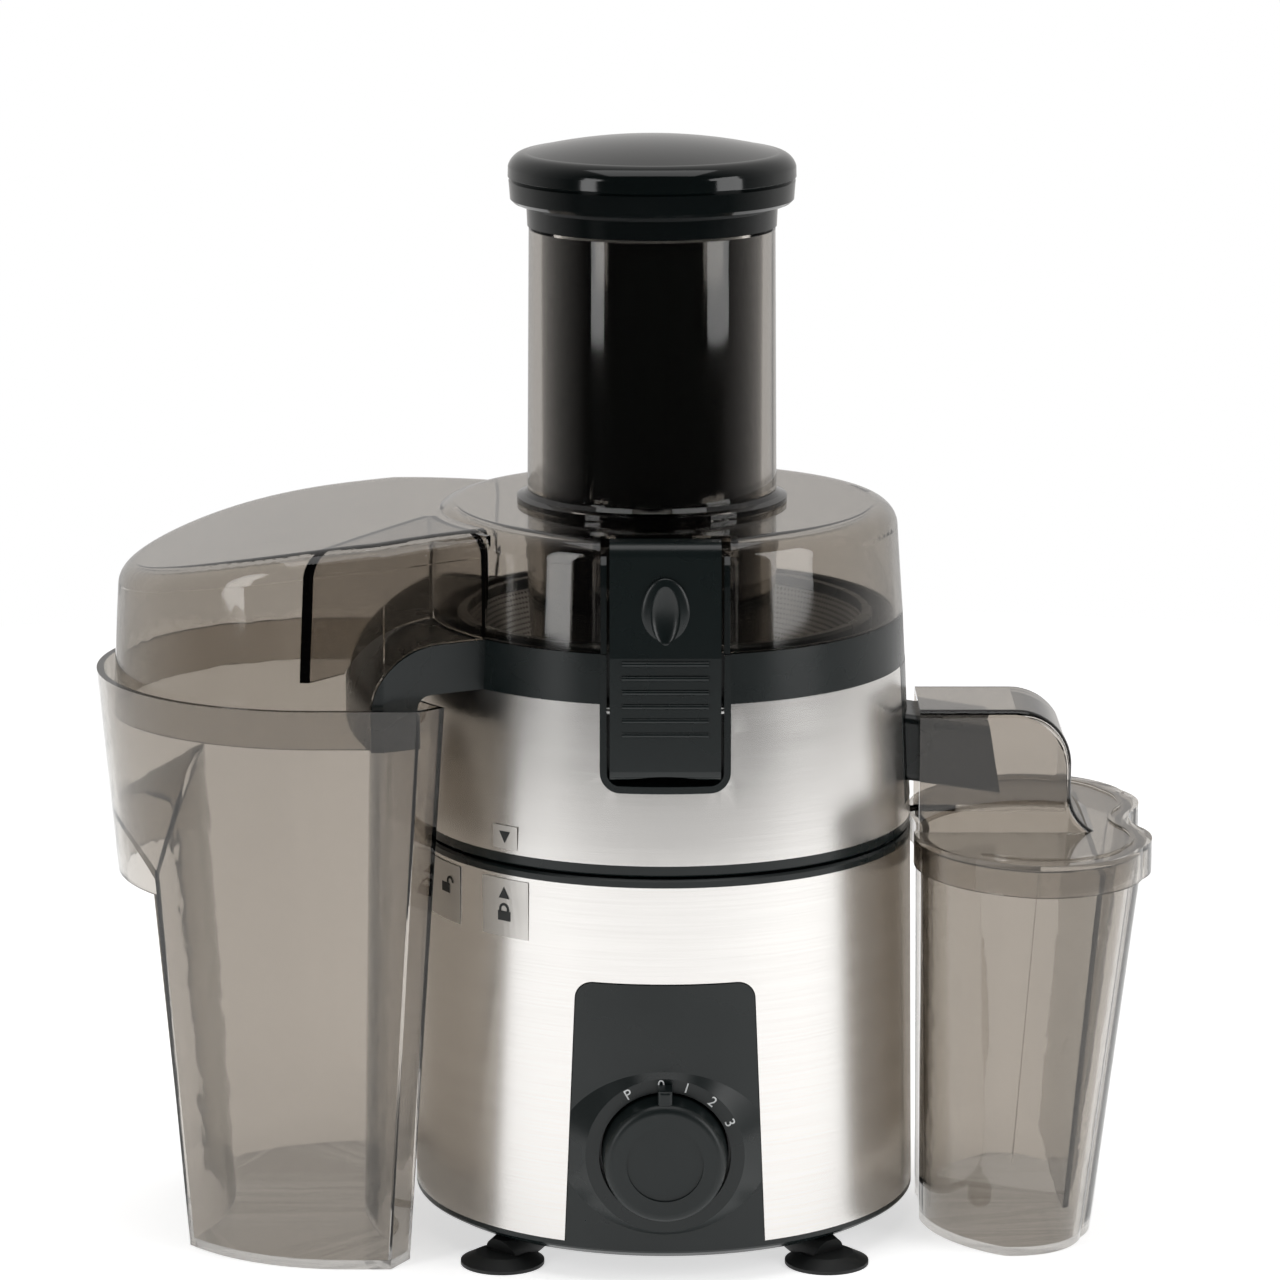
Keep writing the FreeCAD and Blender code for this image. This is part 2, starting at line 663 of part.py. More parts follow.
def chute_web():
    """Front side wall of the chute, under the edge of the hood."""
    half = HOOD_HALF
    wx, wy = HOOD_WAIST
    wall = 2.3
    plan = polygon([(wx + 6, -wy + 3.6, 0), (HOOD_SHOULDER_X, -half, 0), (-110, -half, 0),
                    (-110, -half + wall, 0), (HOOD_SHOULDER_X + 0.6, -half + wall, 0),
                    (wx + 7.2, -wy + 3.6 + wall, 0)])
    top = RIM_Z
    arc, left, _ = chute_outline(CHUTE_R, CHUTE_FRONT_X, 0)
    side = path(((-52, 0, top), arc[0]), arc, (arc[2], (left, 0, CHUTE_END_Z)),
                ((left, 0, CHUTE_END_Z), (-86.5, 0, CHUTE_END_Z)),
                ((-86.5, 0, CHUTE_END_Z), (-86.5, 0, 203.5)),
                ((-86.5, 0, 203.5), (-85.3, 0, 207.0), (-82.0, 0, 208.5)),
                ((-82.0, 0, 208.5), (-52, 0, 208.5)), ((-52, 0, 208.5), (-52, 0, top)))
    return prism_z(plan, 180, 230).common(prism_y(side, -90, 0))


def pulp_chute():
    """Curved sheet and side walls that lead the pulp over the container's wall."""
    sections = [chute_section(CHUTE_FRONT_X, -HOOD_HALF), chute_section(CHUTE_MIDDLE_X, 0.0),
                chute_section(CHUTE_FRONT_X, HOOD_HALF)]
    sheet = Part.makeLoft(sections, True, False)
    sheet = sheet.common(prism_z(flat_plan(1.0), 180, 230))
    web = chute_web()
    return [sheet, web, mirrored_y(web)]


def flat_plan(inset):
    """The hood's outline at its lower edge, drawn at z = 0."""
    wire = hood_plan(SKIRT_Z, inset)
    wire.translate(V(0, 0, -SKIRT_Z))
    return wire


def juice_spout():
    """Sloping closed channel on the right of the bowl."""
    wire = polygon([(80, 0, 190.2), (117.3, 0, 184.8), (121.3, 0, 159.8), (80, 0, 165.8)])
    body = prism_y(wire, -SPOUT_HALF, SPOUT_HALF)
    return softened(body, 3.0, lambda b: b.XLength > 30)


def spout_channel():
    """Hollow of the spout."""
    w = SPOUT_WALL
    wire = polygon([(70, 0, 189.2 - w), (125, 0, 183.7 - w), (125, 0, 159.2 + w), (70, 0, 167.2 + w)])
    return prism_y(wire, -SPOUT_HALF + w, SPOUT_HALF - w)


def bowl_housing():
    """Juice bowl: wall, channel floor, tower, rim, chute, spout and latch pockets."""
    z0, z1 = BOWL_SLEEVE_Z0, BOWL_SLEEVE_Z1
    low = BOWL_BOTTOM_R - SHEET
    high = BOWL_BAND_R - SHEET
    wall = BOWL_WALL
    shell = turned([
        (BOWL_BOTTOM_R - 0.6, BOWL_Z0), (BOWL_BOTTOM_R, BOWL_Z0 + 0.6), (BOWL_BOTTOM_R, z0), (low, z0),
        (high, z1), (BOWL_BAND_R, z1), (RIM_R, RIM_Z), (RIM_R - wall, RIM_Z), (high - wall, z1),
        (high - wall, BOWL_FLOOR_Z + 6), (high - wall - 6, BOWL_FLOOR_Z), (TOWER_R + 5, BOWL_FLOOR_Z),
        (TOWER_R, BOWL_FLOOR_Z + 3), (TOWER_R, TOWER_Z), (TOWER_BORE_R, TOWER_Z),
        (TOWER_BORE_R, BOWL_FLOOR_Z - 3), (low - 6, BOWL_FLOOR_Z - 3), (low - 4, BOWL_Z0)])
    frame = pocket_solid(FRAME_HALF, -92.0, FRAME_Z0, RIM_Z, FRAME_CORNER_R, POCKET_WALL)
    lip = turned([(0, 170), (bowl_radius(170) + 0.5, 170), (RIM_R + 1.2, RIM_Z), (0, RIM_Z)])
    frame = frame.common(lip)
    cheek = block((70, 92), (-20.5, 20.5), (158.0, z1)).common(
        turned([(0, 150), (bowl_radius(150) + 0.2, 150), (BOWL_BAND_R, z1 + 2), (0, z1 + 2)])).cut(
        Part.makeCylinder(high - wall, 100, V(0, 0, 140)))
    body = joined([shell] + both_sides(frame) + [cheek, juice_spout()])
    pocket = pocket_solid(POCKET_HALF, -100.0, POCKET_Z0, RIM_Z + 1, FRAME_CORNER_R - POCKET_WALL, 0.0)
    pin = rod(PIN_R, (-FRAME_HALF + 0.6, PIVOT_Y, PIVOT_Z), (FRAME_HALF - 0.6, PIVOT_Y, PIVOT_Z))
    body = body.cut(Part.makeCompound(both_sides(pocket) + both_sides(pin)))
    drum = Part.makeCylinder(RIM_R - 1.2, 60, V(0, 0, 180))
    chute = [piece.cut(drum) for piece in pulp_chute()]
    return joined([body.cut(spout_channel())] + chute)


def bowl_sleeve():
    """Steel sleeve of the bowl, cut out round both latch frames and the spout's cheek."""
    z0, z1 = BOWL_SLEEVE_Z0, BOWL_SLEEVE_Z1
    shell = turned([(BOWL_BOTTOM_R - SHEET, z0), (BOWL_BOTTOM_R, z0), (BOWL_BAND_R, z1), (BOWL_BAND_R - SHEET, z1)])
    window = latch_block(FRAME_HALF, FRAME_Z0, -100.0, -60.0, z1 + 5, FRAME_CORNER_R)
    cheek = block((60, 100), (-20.5, 20.5), (158.0, z1 + 1))
    return shell.cut(Part.makeCompound(both_sides(window) + [cheek]))


def latch_pins():
    """Steel pivot pins of the two latches."""
    pin = rod(PIN_R, (-FRAME_HALF + 0.6, PIVOT_Y, PIVOT_Z), (FRAME_HALF - 0.6, PIVOT_Y, PIVOT_Z))
    return Part.makeCompound(both_sides(pin))


def latch():
    """Rocker latch: ribbed thumb face, oval dent and a hook over the lid's ledge."""
    inner = [(0, -84.4, LATCH_Z0), (0, -84.4, 226.0), (0, -82.6, 258.0), (0, -82.0, LEDGE_Z + 0.4)]
    hook_y = LEDGE_Y - 1.2
    section = path(
        (inner[0], inner[1]), (inner[1], inner[2]), (inner[2], inner[3]),
        (inner[3], (0, hook_y, LEDGE_Z + 0.4)), ((0, hook_y, LEDGE_Z + 0.4), (0, hook_y, LEDGE_Z + 3.2)),
        ((0, hook_y, LEDGE_Z + 3.2), (0, -82.6, LEDGE_Z + 3.9)),
        ((0, -82.6, LEDGE_Z + 3.9), (0, -85.4, LEDGE_Z + 2.4), (0, -86.9, LEDGE_Z - 0.6)),
        ((0, -86.9, LEDGE_Z - 0.6), (0, -90.4, 226.0)), ((0, -90.4, 226.0), (0, -91.0, 186.0)),
        ((0, -91.0, 186.0), (0, -90.0, LATCH_Z0 + 1.1), (0, -87.6, LATCH_Z0)), ((0, -87.6, LATCH_Z0), inner[0]))
    body = prism_x(section, -LATCH_HALF, LATCH_HALF)
    lug = block((-LATCH_HALF, LATCH_HALF), (-86.0, PIVOT_Y), (PIVOT_Z - 3.4, PIVOT_Z + 3.4))
    eye = rod(3.4, (-LATCH_HALF, PIVOT_Y, PIVOT_Z), (LATCH_HALF, PIVOT_Y, PIVOT_Z))
    body = joined([body, lug, eye])
    ribs = []
    for step in range(6):
        z = 199.0 + 5.0 * step
        ribs.append(rod(0.9, (-15.0, -90.7, z), (15.0, -90.7, z)))
    scoop = Part.makeCylinder(60.0, 30.0, V(0, -95.0, LATCH_Z0 - 58.4), V(0, 1, 0))
    dent = Part.makeSphere(1.0)
    matrix = FreeCAD.Matrix()
    matrix.scale(5.2, 2.6, 10.6)
    dent = dent.transformGeometry(matrix)
    dent.translate(V(0, -90.3, 241.0))
    raised = Part.makeSphere(1.0)
    matrix = FreeCAD.Matrix()
    matrix.scale(8.6, 2.0, 12.8)
    raised = raised.transformGeometry(matrix)
    raised.translate(V(0, -88.4, 241.0))
    bore = rod(PIN_R + PIN_FIT, (-30, PIVOT_Y, PIVOT_Z), (30, PIVOT_Y, PIVOT_Z))
    return joined([body, raised] + ribs).cut(Part.makeCompound([dent, scoop])).cut(bore)


def bowl_seal():
    """Rubber bead inside the bowl's rim, in two arcs between the latch pockets."""
    gap = block((-FRAME_HALF - 0.5, FRAME_HALF + 0.5), (-100, 100), (RIM_Z - 5, RIM_Z + 1))
    return ring(83.3, 81.6, RIM_Z - 4.0, RIM_Z).cut(gap)


# ---- Lid ----
def drum_solid(inset):
    """Solid inside the round part of the lid."""
    r0 = RIM_R - inset
    r1 = LID_UPPER_R - inset
    top = LID_TOP_Z - inset
    shoulder = LID_SHOULDER_R - inset
    k = shoulder * (1 - math.sqrt(0.5))
    low = RIM_Z - (1.0 if inset else 0.0)
    face = Part.Face(path(
        ((0, 0, low), (r0, 0, low)), ((r0, 0, low), (r1, 0, top - shoulder)),
        ((r1, 0, top - shoulder), (r1 - k, 0, top - k), (r1 - shoulder, 0, top)),
        ((r1 - shoulder, 0, top), (0, 0, top)), ((0, 0, top), (0, 0, low))))
    return face.revolve(V(0, 0, 0), V(0, 0, 1), 360.0)


def hood_solid(inset):
    """Solid inside the pulp hood, with its falling roof and round shoulder."""
    roof = Part.BSplineCurve()
    heights = [(-60.0, 264.0), (-95.0, 262.4), (-122.0, 259.4), (-150.0, 254.8), (-180.0, 247.5), (-215.0, 235.0)]
    roof.interpolate([V(x, 0, z - inset) for x, z in heights])
    z_low = SKIRT_Z - (2.0 if inset else 0.0)
    start = V(-40.0, 0, 264.0 - inset)
    edges = [Part.makeLine(start, V(-60.0, 0, 264.0 - inset)), roof.toShape(),
             Part.makeLine(V(-215, 0, 235.0 - inset), V(-215, 0, z_low)),
             Part.makeLine(V(-215, 0, z_low), V(-40.0, 0, z_low)), Part.makeLine(V(-40.0, 0, z_low), start)]
    under_roof = prism_y(Part.Wire(edges), -100, 100)
    body = hood_prism(SKIRT_Z - 6, 275.0, inset).common(under_roof)
    radius = 9.0 - inset
    return softened(body, radius, lambda b: b.ZMin > 236 and b.XMin < -52 and b.XMax > -210 and
                    not (b.XLength < 1 and b.YLength > 20) and not (b.YLength < 1 and b.XLength < 0.5))


def latch_notch(grow):
    """Hollow in the front of the lid that a latch lies in, grown by the wall."""
    half = NOTCH_HALF + grow
    body = block((-half, half), (-100, NOTCH_Y + grow), (RIM_Z - 5, LID_TOP_Z + 5))
    ledge = block((-half, half), (-100, LEDGE_Y + grow), (LEDGE_Z - grow, LID_TOP_Z + 5))
    return body.fuse(ledge)


def under_lid():
    """Space below the lid over the bowl and the chute."""
    return chute_clearance(CHUTE_FRONT_X).cut(Part.makeCylinder(RIM_R + 0.05, 80, V(0, 0, RIM_Z)))


def chute_clearance(start_x):
    """Everything below the chute's upper face, with a small gap."""
    arc, left, top = chute_outline(CHUTE_R + LID_GAP, start_x, 0)
    side = path(((20, 0, top), arc[0]), arc, (arc[2], (left, 0, 150)), ((left, 0, 150), (20, 0, 150)),
                ((20, 0, 150), (20, 0, top)))
    return prism_y(side, -90, 90)


def pulp_baffle():
    """Upright wall that turns the stream of pulp down into the container."""
    (x0, y0), (x1, y1) = BAFFLE_START, BAFFLE_END
    length = math.hypot(x1 - x0, y1 - y0)
    nx, ny = (y0 - y1) / length * 1.5, (x1 - x0) / length * 1.5
    plan = polygon([(x0 - nx, y0 - ny, 0), (x1 - nx, y1 - ny, 0), (x1 + nx, y1 + ny, 0), (x0 + nx, y0 + ny, 0)])
    plate = prism_z(plan, BAFFLE_Z0, 270.0)
    return plate.common(hood_solid(LID_WALL - 0.4)).cut(chute_clearance(CHUTE_MIDDLE_X))


def drum_wall():
    """Stretch of the round wall that closes the lid beside the chute."""
    band = ring(RIM_R - 0.3, RIM_R - 0.3 - 2.2, RIM_Z + LID_GAP, 263.0)
    wedge = polygon([(0, 0, 0), (-140, -31.0, 0), (-140, -131.0, 0)])
    return band.common(prism_z(wedge, 200, 300))


def lid_cover():
    """Clear lid: round part, pulp hood with its skirt, baffle and latch notches."""
    outer = drum_solid(0.0).fuse(hood_solid(0.0))
    for notch in both_sides(latch_notch(0.0)):
        outer = outer.cut(notch)
    inner = drum_solid(LID_WALL).fuse(hood_solid(LID_WALL))
    for notch in both_sides(latch_notch(LID_WALL)):
        inner = inner.cut(notch)
    shell = outer.cut(inner).cut(under_lid()).cut(pulp_chute())
    shell = shell.fuse(drum_wall()).fuse(pulp_baffle())
    hole = Part.makeCylinder(TUBE_FOOT_R, 60, V(TUBE_X, 0, 240))
    return shell.cut(hole).removeSplitter()


def feed_tube():
    """Straight feed tube with its ring flange, reaching down into the basket."""
    body = turned([
        (TUBE_BORE_R, TUBE_END_Z), (TUBE_R - 1.0, TUBE_END_Z), (TUBE_FOOT_R, 240.0), (TUBE_FOOT_R, 265.8),
        (48.6, 265.8), (48.6, 267.6), (46.4, 268.6), (TUBE_FOOT_R - 0.2, 270.0),
        (TUBE_R, TUBE_TOP_Z - 0.8), (TUBE_R - 0.8, TUBE_TOP_Z), (TUBE_BORE_R, TUBE_TOP_Z)])
    body.translate(V(TUBE_X, 0, 0))
    tab = block((TUBE_X - 7.5, TUBE_X + 7.5), (-46.2, -43.6), (272.0, 275.2))
    return body.fuse(tab).removeSplitter()


# ---- Pusher ----
def pusher_body():
    """Hollow pusher, closed at its foot."""
    body = turned([(0, PUSHER_Z0), (PUSHER_R - 1.5, PUSHER_Z0), (PUSHER_R, PUSHER_Z0 + 1.5),
                   (PUSHER_R, 372.0), (PUSHER_R - 2.4, 372.0), (PUSHER_R - 2.4, PUSHER_Z0 + 3), (0, PUSHER_Z0 + 3)])
    body.translate(V(TUBE_X, 0, 0))
    return body


def pusher_collar():
    """Collar that stops the pusher on the tube's rim."""
    body = turned([(PUSHER_R, COLLAR_Z0), (COLLAR_R, COLLAR_Z0), (COLLAR_R + 0.3, 371.6), (CAP_R - 2.0, 373.4),
                   (CAP_R - 0.8, 374.6), (CAP_R - 0.3, CAP_SEAM_Z - 0.5), (CAP_R - 0.9, CAP_SEAM_Z),
                   (CAP_R - 3.4, CAP_SEAM_Z), (CAP_R - 3.4, 376.4), (COLLAR_R - 2.0, 374.6), (PUSHER_R, 374.6)])
    body.translate(V(TUBE_X, 0, 0))
    return body


def pusher_cap():
    """Domed cap of the pusher, its crown part of a sphere on the pusher's axis."""
    seam = CAP_SEAM_Z
    edge_r = CAP_R - 6.5
    rise = CAP_TOP_Z - seam - 9.6
    dome_r = (edge_r ** 2 + rise ** 2) / (2 * rise)
    mid_r = 0.5 * edge_r
    mid_z = CAP_TOP_Z - dome_r + math.sqrt(dome_r ** 2 - mid_r ** 2)
    face = Part.Face(path(
        ((0, 0, seam), (CAP_R - 0.9, 0, seam)), ((CAP_R - 0.9, 0, seam), (CAP_R, 0, seam + 0.9)),
        ((CAP_R, 0, seam + 0.9), (CAP_R - 0.1, 0, seam + 4.6)),
        ((CAP_R - 0.1, 0, seam + 4.6), (CAP_R - 2.3, 0, seam + 8.0), (CAP_R - 6.5, 0, seam + 9.6)),
        ((CAP_R - 6.5, 0, seam + 9.6), (mid_r, 0, mid_z), (0, 0, CAP_TOP_Z)),
        ((0, 0, CAP_TOP_Z), (0, 0, seam))))
    body = face.revolve(V(0, 0, 0), V(0, 0, 1), 360.0)
    body.translate(V(TUBE_X, 0, 0))
    return body


# ---- Pulp container ----
def bin_plan(z, inset):
    """Outline of the pulp container at a height."""
    share = z / BIN_RIM_Z
    i = inset

    def between(low, high):
        return low + (high - low) * share

    half = between(74.4, 83.6) - i
    centre = between(-113.2, -121.7)
    front_x = between(-97.6, -85.0) - 0.5 * i
    side_x = between(-91.3, -77.0) - i
    side_y = between(62.5, 76.0) - 0.5 * i
    deep_x = between(-108.0, -104.0) - i
    a = (side_x, -side_y, z)
    b = (front_x, -half, z)
    c = (centre, -half, z)
    d = (centre - half, 0, z)
    e = (centre, half, z)
    f = (front_x, half, z)
    g = (side_x, side_y, z)
    h = (deep_x, 0, z)
    return path((a, b), (b, c), (c, d, e), (e, f), (f, g), (g, h, a))


def bin_solid(z0, z1, inset):
    """Solid inside the container's outline between two heights."""
    return Part.makeLoft([bin_plan(z0, inset), bin_plan(z1, inset)], True, True)


def grip_plan(z, grow):
    """Outline of the grip's hollow at a height, grown by the wall."""
    share = z / 160.0
    chord = -171.7 - 11.0 * share + grow
    deep = -161.0 - 8.6 * share + grow
    y = 47.0 + 3.0 * share
    return path(((chord, -y, z), (deep, 0, z), (chord, y, z)), ((chord, y, z), (-230, y, z)),
                ((-230, y, z), (-230, -y, z)), ((-230, -y, z), (chord, -y, z)))


def grip_arch(x, crown, grow):
    """Arched outline of the grip's hollow, across the container."""
    y = 54.0 + grow
    side = 112.0 + 0.5 * (crown - GRIP_Z) + grow
    top = crown + grow
    return path(((x, -y, -5), (x, -y, side)), ((x, -y, side), (x, 0, top), (x, y, side)),
                ((x, y, side), (x, y, -5)), ((x, y, -5), (x, -y, -5)))


def grip_hollow(grow):
    """Space for the fingers under the container's left end."""
    column = Part.makeLoft([grip_plan(-5, grow), grip_plan(200, grow)], True, True)
    arch = Part.makeLoft([grip_arch(-230, GRIP_Z - 16, grow), grip_arch(-150, GRIP_Z + 30, grow)], True, True)
    return column.common(arch)


def pulp_container():
    """Clear container with the finger lip and hollow on its left."""
    outer = bin_solid(0.0, BIN_RIM_Z, 0.0)
    cavity = bin_solid(BIN_FLOOR, BIN_RIM_Z + 2, BIN_WALL)
    below_lip = block((-230, -150), (-90, 90), (-5, GRIP_LIP_Z))
    inside = bin_solid(-6.0, BIN_RIM_Z - 2, BIN_WALL)
    fingers = grip_hollow(0.0)
    void = fingers.common(inside).fuse(fingers.common(below_lip))
    return outer.cut(cavity.cut(grip_hollow(BIN_WALL))).cut(void)


# ---- Juice jug ----
def jug_plan(z, inset):
    """Outline of the jug: flat hollow side to the base, two lobes on the right."""
    share = z / 147.5
    i = inset

    def between(low, high):
        return low + (high - low) * share

    left = between(93.6, 92.6) + i
    hollow = between(94.6, 94.2) + i
    half = between(59.0, 69.4) - i
    lobe = between(155.5, 172.6) - i
    notch = between(151.0, 167.0) - i
    lobe_y = between(25.0, 31.0)
    mid = between(122.0, 132.0)
    a = (left, -16.0, z)
    b = (mid, -half, z)
    c = (lobe - 4.5, -lobe_y - 13.0, z)
    d = (lobe - 1.6, -lobe_y + 15.0, z)
    e = (lobe - 1.6, lobe_y - 15.0, z)
    f = (lobe - 4.5, lobe_y + 13.0, z)
    g = (mid, half, z)
    h = (left, 16.0, z)
    corner = between(104.5, 103.0) + 0.6 * i
    corner_y = between(43.0, 51.5) - 0.6 * i
    right_x = between(144.5, 157.5) - 0.5 * i
    right_y = between(51.0, 60.5) - 0.85 * i
    return path((a, (corner, -corner_y, z), b), (b, (right_x, -right_y, z), c),
                (c, (lobe, -lobe_y, z), d), (d, (notch, 0, z), e), (e, (lobe, lobe_y, z), f),
                (f, (right_x, right_y, z), g), (g, (corner, corner_y, z), h),
                (h, (hollow, 0, z), a))


def jug_solid(z0, z1, inset):
    """Solid inside the jug's outline between two heights."""
    return Part.makeLoft([jug_plan(z0, inset), jug_plan(z1, inset)], True, True)


def juice_jug():
    """Clear juice jug."""
    return jug_solid(0.0, JUG_RIM_Z, 0.0).cut(jug_solid(JUG_FLOOR, JUG_RIM_Z + 2, JUG_WALL))


def jug_lid_plan(inset):
    """Outline of the jug's lid, drawn at z = 0."""
    wire = jug_plan(JUG_LID_Z, -0.4 - JUG_LID_WALL + inset)
    wire.translate(V(0, 0, -JUG_LID_Z))
    return wire


def jug_hood(inset):
    """Arched tunnel over the spout, as a solid."""
    half = JUG_HOOD_HALF - inset
    top = JUG_HOOD_TOP_Z - inset
    x = 146.5 - inset
    z_low = JUG_LID_Z - 2.4 if inset else JUG_LID_Z - 1.0
    wire = path(((91.8 - 3 * inset, 0, z_low), (91.8 - 3 * inset, 0, top)), ((91.8 - 3 * inset, 0, top), (126.5, 0, top)),
                ((126.5, 0, top), (140.6 - 0.7 * inset, 0, top - 5.9 - 0.3 * inset), (x, 0, top - 20.0)),
                ((x, 0, top - 20.0), (x, 0, 160.0)), ((x, 0, 160.0), (149.6 - inset, 0, 152.0), (157.5 - inset, 0, z_low)),
                ((157.5 - inset, 0, z_low), (91.8 - 3 * inset, 0, z_low)))
    body = prism_y(wire, -half, half)
    if inset:
        return body
    return softened(body, 2.6, lambda b: b.ZMax > 170 and b.YLength < 1 and b.XMin > 92)


def jug_lid():
    """Lid of the jug with its skirt, raised border and spout tunnel."""
    plate = prism_z(jug_lid_plan(0.0), JUG_SKIRT_Z, JUG_LID_Z)
    under = prism_z(jug_lid_plan(JUG_LID_WALL), JUG_SKIRT_Z - 1, JUG_LID_Z - 2.2)
    border = prism_z(jug_lid_plan(6.5), JUG_LID_Z - 0.6, JUG_LID_Z + 0.8).cut(
        prism_z(jug_lid_plan(8.0), JUG_LID_Z - 1.6, JUG_LID_Z + 1.8))
    border = border.cut(block((80, 150), (-JUG_HOOD_HALF + 0.5, JUG_HOOD_HALF - 0.5), (140, 150)))
    border = border.cut(block((80, 112), (-90, 90), (140, 150)))
    lid = joined([plate.cut(under), border, jug_hood(0.0)])
    return lid.cut(jug_hood(2.0)).cut(Part.makeCylinder(91.2, 80, V(0, 0, 130)))


def froth_separator():
    """Slanting plate that holds the froth back."""
    section = polygon([(142.6, 0, 16.0), (144.6, 0, 16.0), (155.0, 0, 141.5), (153.0, 0, 141.5)])
    plate = prism_y(section, -80, 80)
    return plate.common(jug_solid(10.0, 146.0, JUG_WALL + 0.1))


NODES = {
    "base_sleeve": base_sleeve, "base_frame": base_frame, "base_collar": base_collar,
    "bottom_cover": bottom_cover, "suction_feet": suction_feet, "bottom_screws": bottom_screws,
    "control_panel": control_panel, "dial_knob": dial_knob, "dial_spindle": dial_spindle,
    "speed_switch": speed_switch, "interlock_switch": interlock_switch, "cord_gland": cord_gland,
    "motor_stator": motor_stator, "stator_coils": stator_coils, "upper_bracket": upper_bracket,
    "lower_bracket": lower_bracket, "motor_bearings": motor_bearings, "motor_dampers": motor_dampers,
    "motor_screws": motor_screws, "brush_holders": brush_holders, "carbon_brushes": carbon_brushes,
    "motor_shaft": motor_shaft, "armature_core": armature_core, "armature_windings": armature_windings,
    "commutator": commutator, "cooling_fan": cooling_fan, "shaft_seal": shaft_seal,
    "drive_coupling": drive_coupling, "basket_hub": basket_hub, "grater_disc": grater_disc,
    "basket_mesh": basket_mesh, "basket_rim": basket_rim, "bowl_housing": bowl_housing,
    "bowl_sleeve": bowl_sleeve, "bowl_seal": bowl_seal, "latch_pins": latch_pins,
    "lid_cover": lid_cover, "feed_tube": feed_tube, "pusher_body": pusher_body,
    "pusher_collar": pusher_collar, "pusher_cap": pusher_cap, "pulp_container": pulp_container,
    "juice_jug": juice_jug, "jug_lid": jug_lid, "froth_separator": froth_separator,
}


def write(name, shape):
    """Move a piece from the drive axis to the shared frame and write it."""
    shape.translate(V(AXIS_X, 0, 0))
    shape.exportStep(os.path.join("parts", name + ".step"))
    box = shape.BoundBox
    print(f"{name:20s} solids {len(shape.Solids)} valid {shape.isValid()} volume {shape.Volume:10.0f} "
          f"x {box.XMin:.1f}..{box.XMax:.1f} y {box.YMin:.1f}..{box.YMax:.1f} z {box.ZMin:.1f}..{box.ZMax:.1f}")


def main():
    """Build and write every piece."""
    os.makedirs("parts", exist_ok=True)
    for name, make in NODES.items():
        write(name, make())
    front = latch()
    for name, shape in zip(("latch_front", "latch_rear"), both_sides(front)):
        write(name, shape)


main()
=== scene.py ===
"""Looks of a centrifugal juicer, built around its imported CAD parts.

Sizes are in metres, in the frame of the CAD: +Z up, -Y towards the dial, +X towards the juice jug.
"""
import logging
import math
from dataclasses import dataclass, field
from enum import Enum

import bpy
from mathutils import Matrix, Vector


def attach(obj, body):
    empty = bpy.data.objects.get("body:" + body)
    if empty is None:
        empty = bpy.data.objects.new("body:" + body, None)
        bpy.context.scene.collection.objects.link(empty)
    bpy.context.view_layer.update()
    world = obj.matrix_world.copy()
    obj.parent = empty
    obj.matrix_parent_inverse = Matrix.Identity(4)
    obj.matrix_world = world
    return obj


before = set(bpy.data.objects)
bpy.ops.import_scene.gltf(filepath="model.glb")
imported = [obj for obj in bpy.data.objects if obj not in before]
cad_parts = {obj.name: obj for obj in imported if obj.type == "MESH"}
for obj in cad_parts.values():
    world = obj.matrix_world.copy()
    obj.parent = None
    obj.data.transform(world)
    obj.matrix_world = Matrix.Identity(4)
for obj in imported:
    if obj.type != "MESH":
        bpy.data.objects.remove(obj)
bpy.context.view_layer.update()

LOG = logging.getLogger("juicer")
Point = tuple[float, float]
Colour = tuple[float, float, float, float]

AXIS_X = 0.01375                    # the drive axis, right of the origin
NOISE_LOW, NOISE_HIGH = 0.3, 0.7    # where nearly all of a noise texture's values lie
BAND_SHARE = 0.08                   # how dense the broad bands are beside the fine lines
DARKER = 0.86                       # how dark a moulded surface is at its darkest
PRINT_LIFT = 0.0002                 # how far a print stands off what it is printed on


class Body(Enum):
    """Bodies that added pieces ride on."""

    BASE = "base"
    ROTOR = "rotor"
    BOWL = "bowl"


class Slot(Enum):
    """Names of three of the finishes, which nothing in this script uses."""

    BLACK_PLASTIC = "black_plastic"
    SIEVE_STEEL = "sieve_steel"
    RUBBER = "rubber"


# ---- Shader node groups ----
def value_input(group: bpy.types.NodeTree, name: str, default: float) -> None:
    """Adds a number input to a node group.

    Args:
        group: The node group.
        name: Name of the input.
        default: Its value where nothing is set.
    """
    socket = group.interface.new_socket(name, in_out="INPUT", socket_type="NodeSocketFloat")
    socket.default_value = default


def math_node(tree: bpy.types.NodeTree, operation: str, first: float | bpy.types.NodeSocket,
              second: float | bpy.types.NodeSocket | None = None) -> bpy.types.NodeSocket:
    """Adds a Math node and returns its result.

    Args:
        tree: Tree the node goes into.
        operation: Name of the Math operation.
        first: Number or socket for the first input.
        second: Number or socket for the second input.

    Returns:
        The output socket.
    """
    node = tree.nodes.new("ShaderNodeMath")
    node.operation = operation
    for slot, value in zip(node.inputs, (first, second)):
        if value is None:
            continue
        if isinstance(value, bpy.types.NodeSocket):
            tree.links.new(value, slot)
        else:
            slot.default_value = value
    return node.outputs[0]


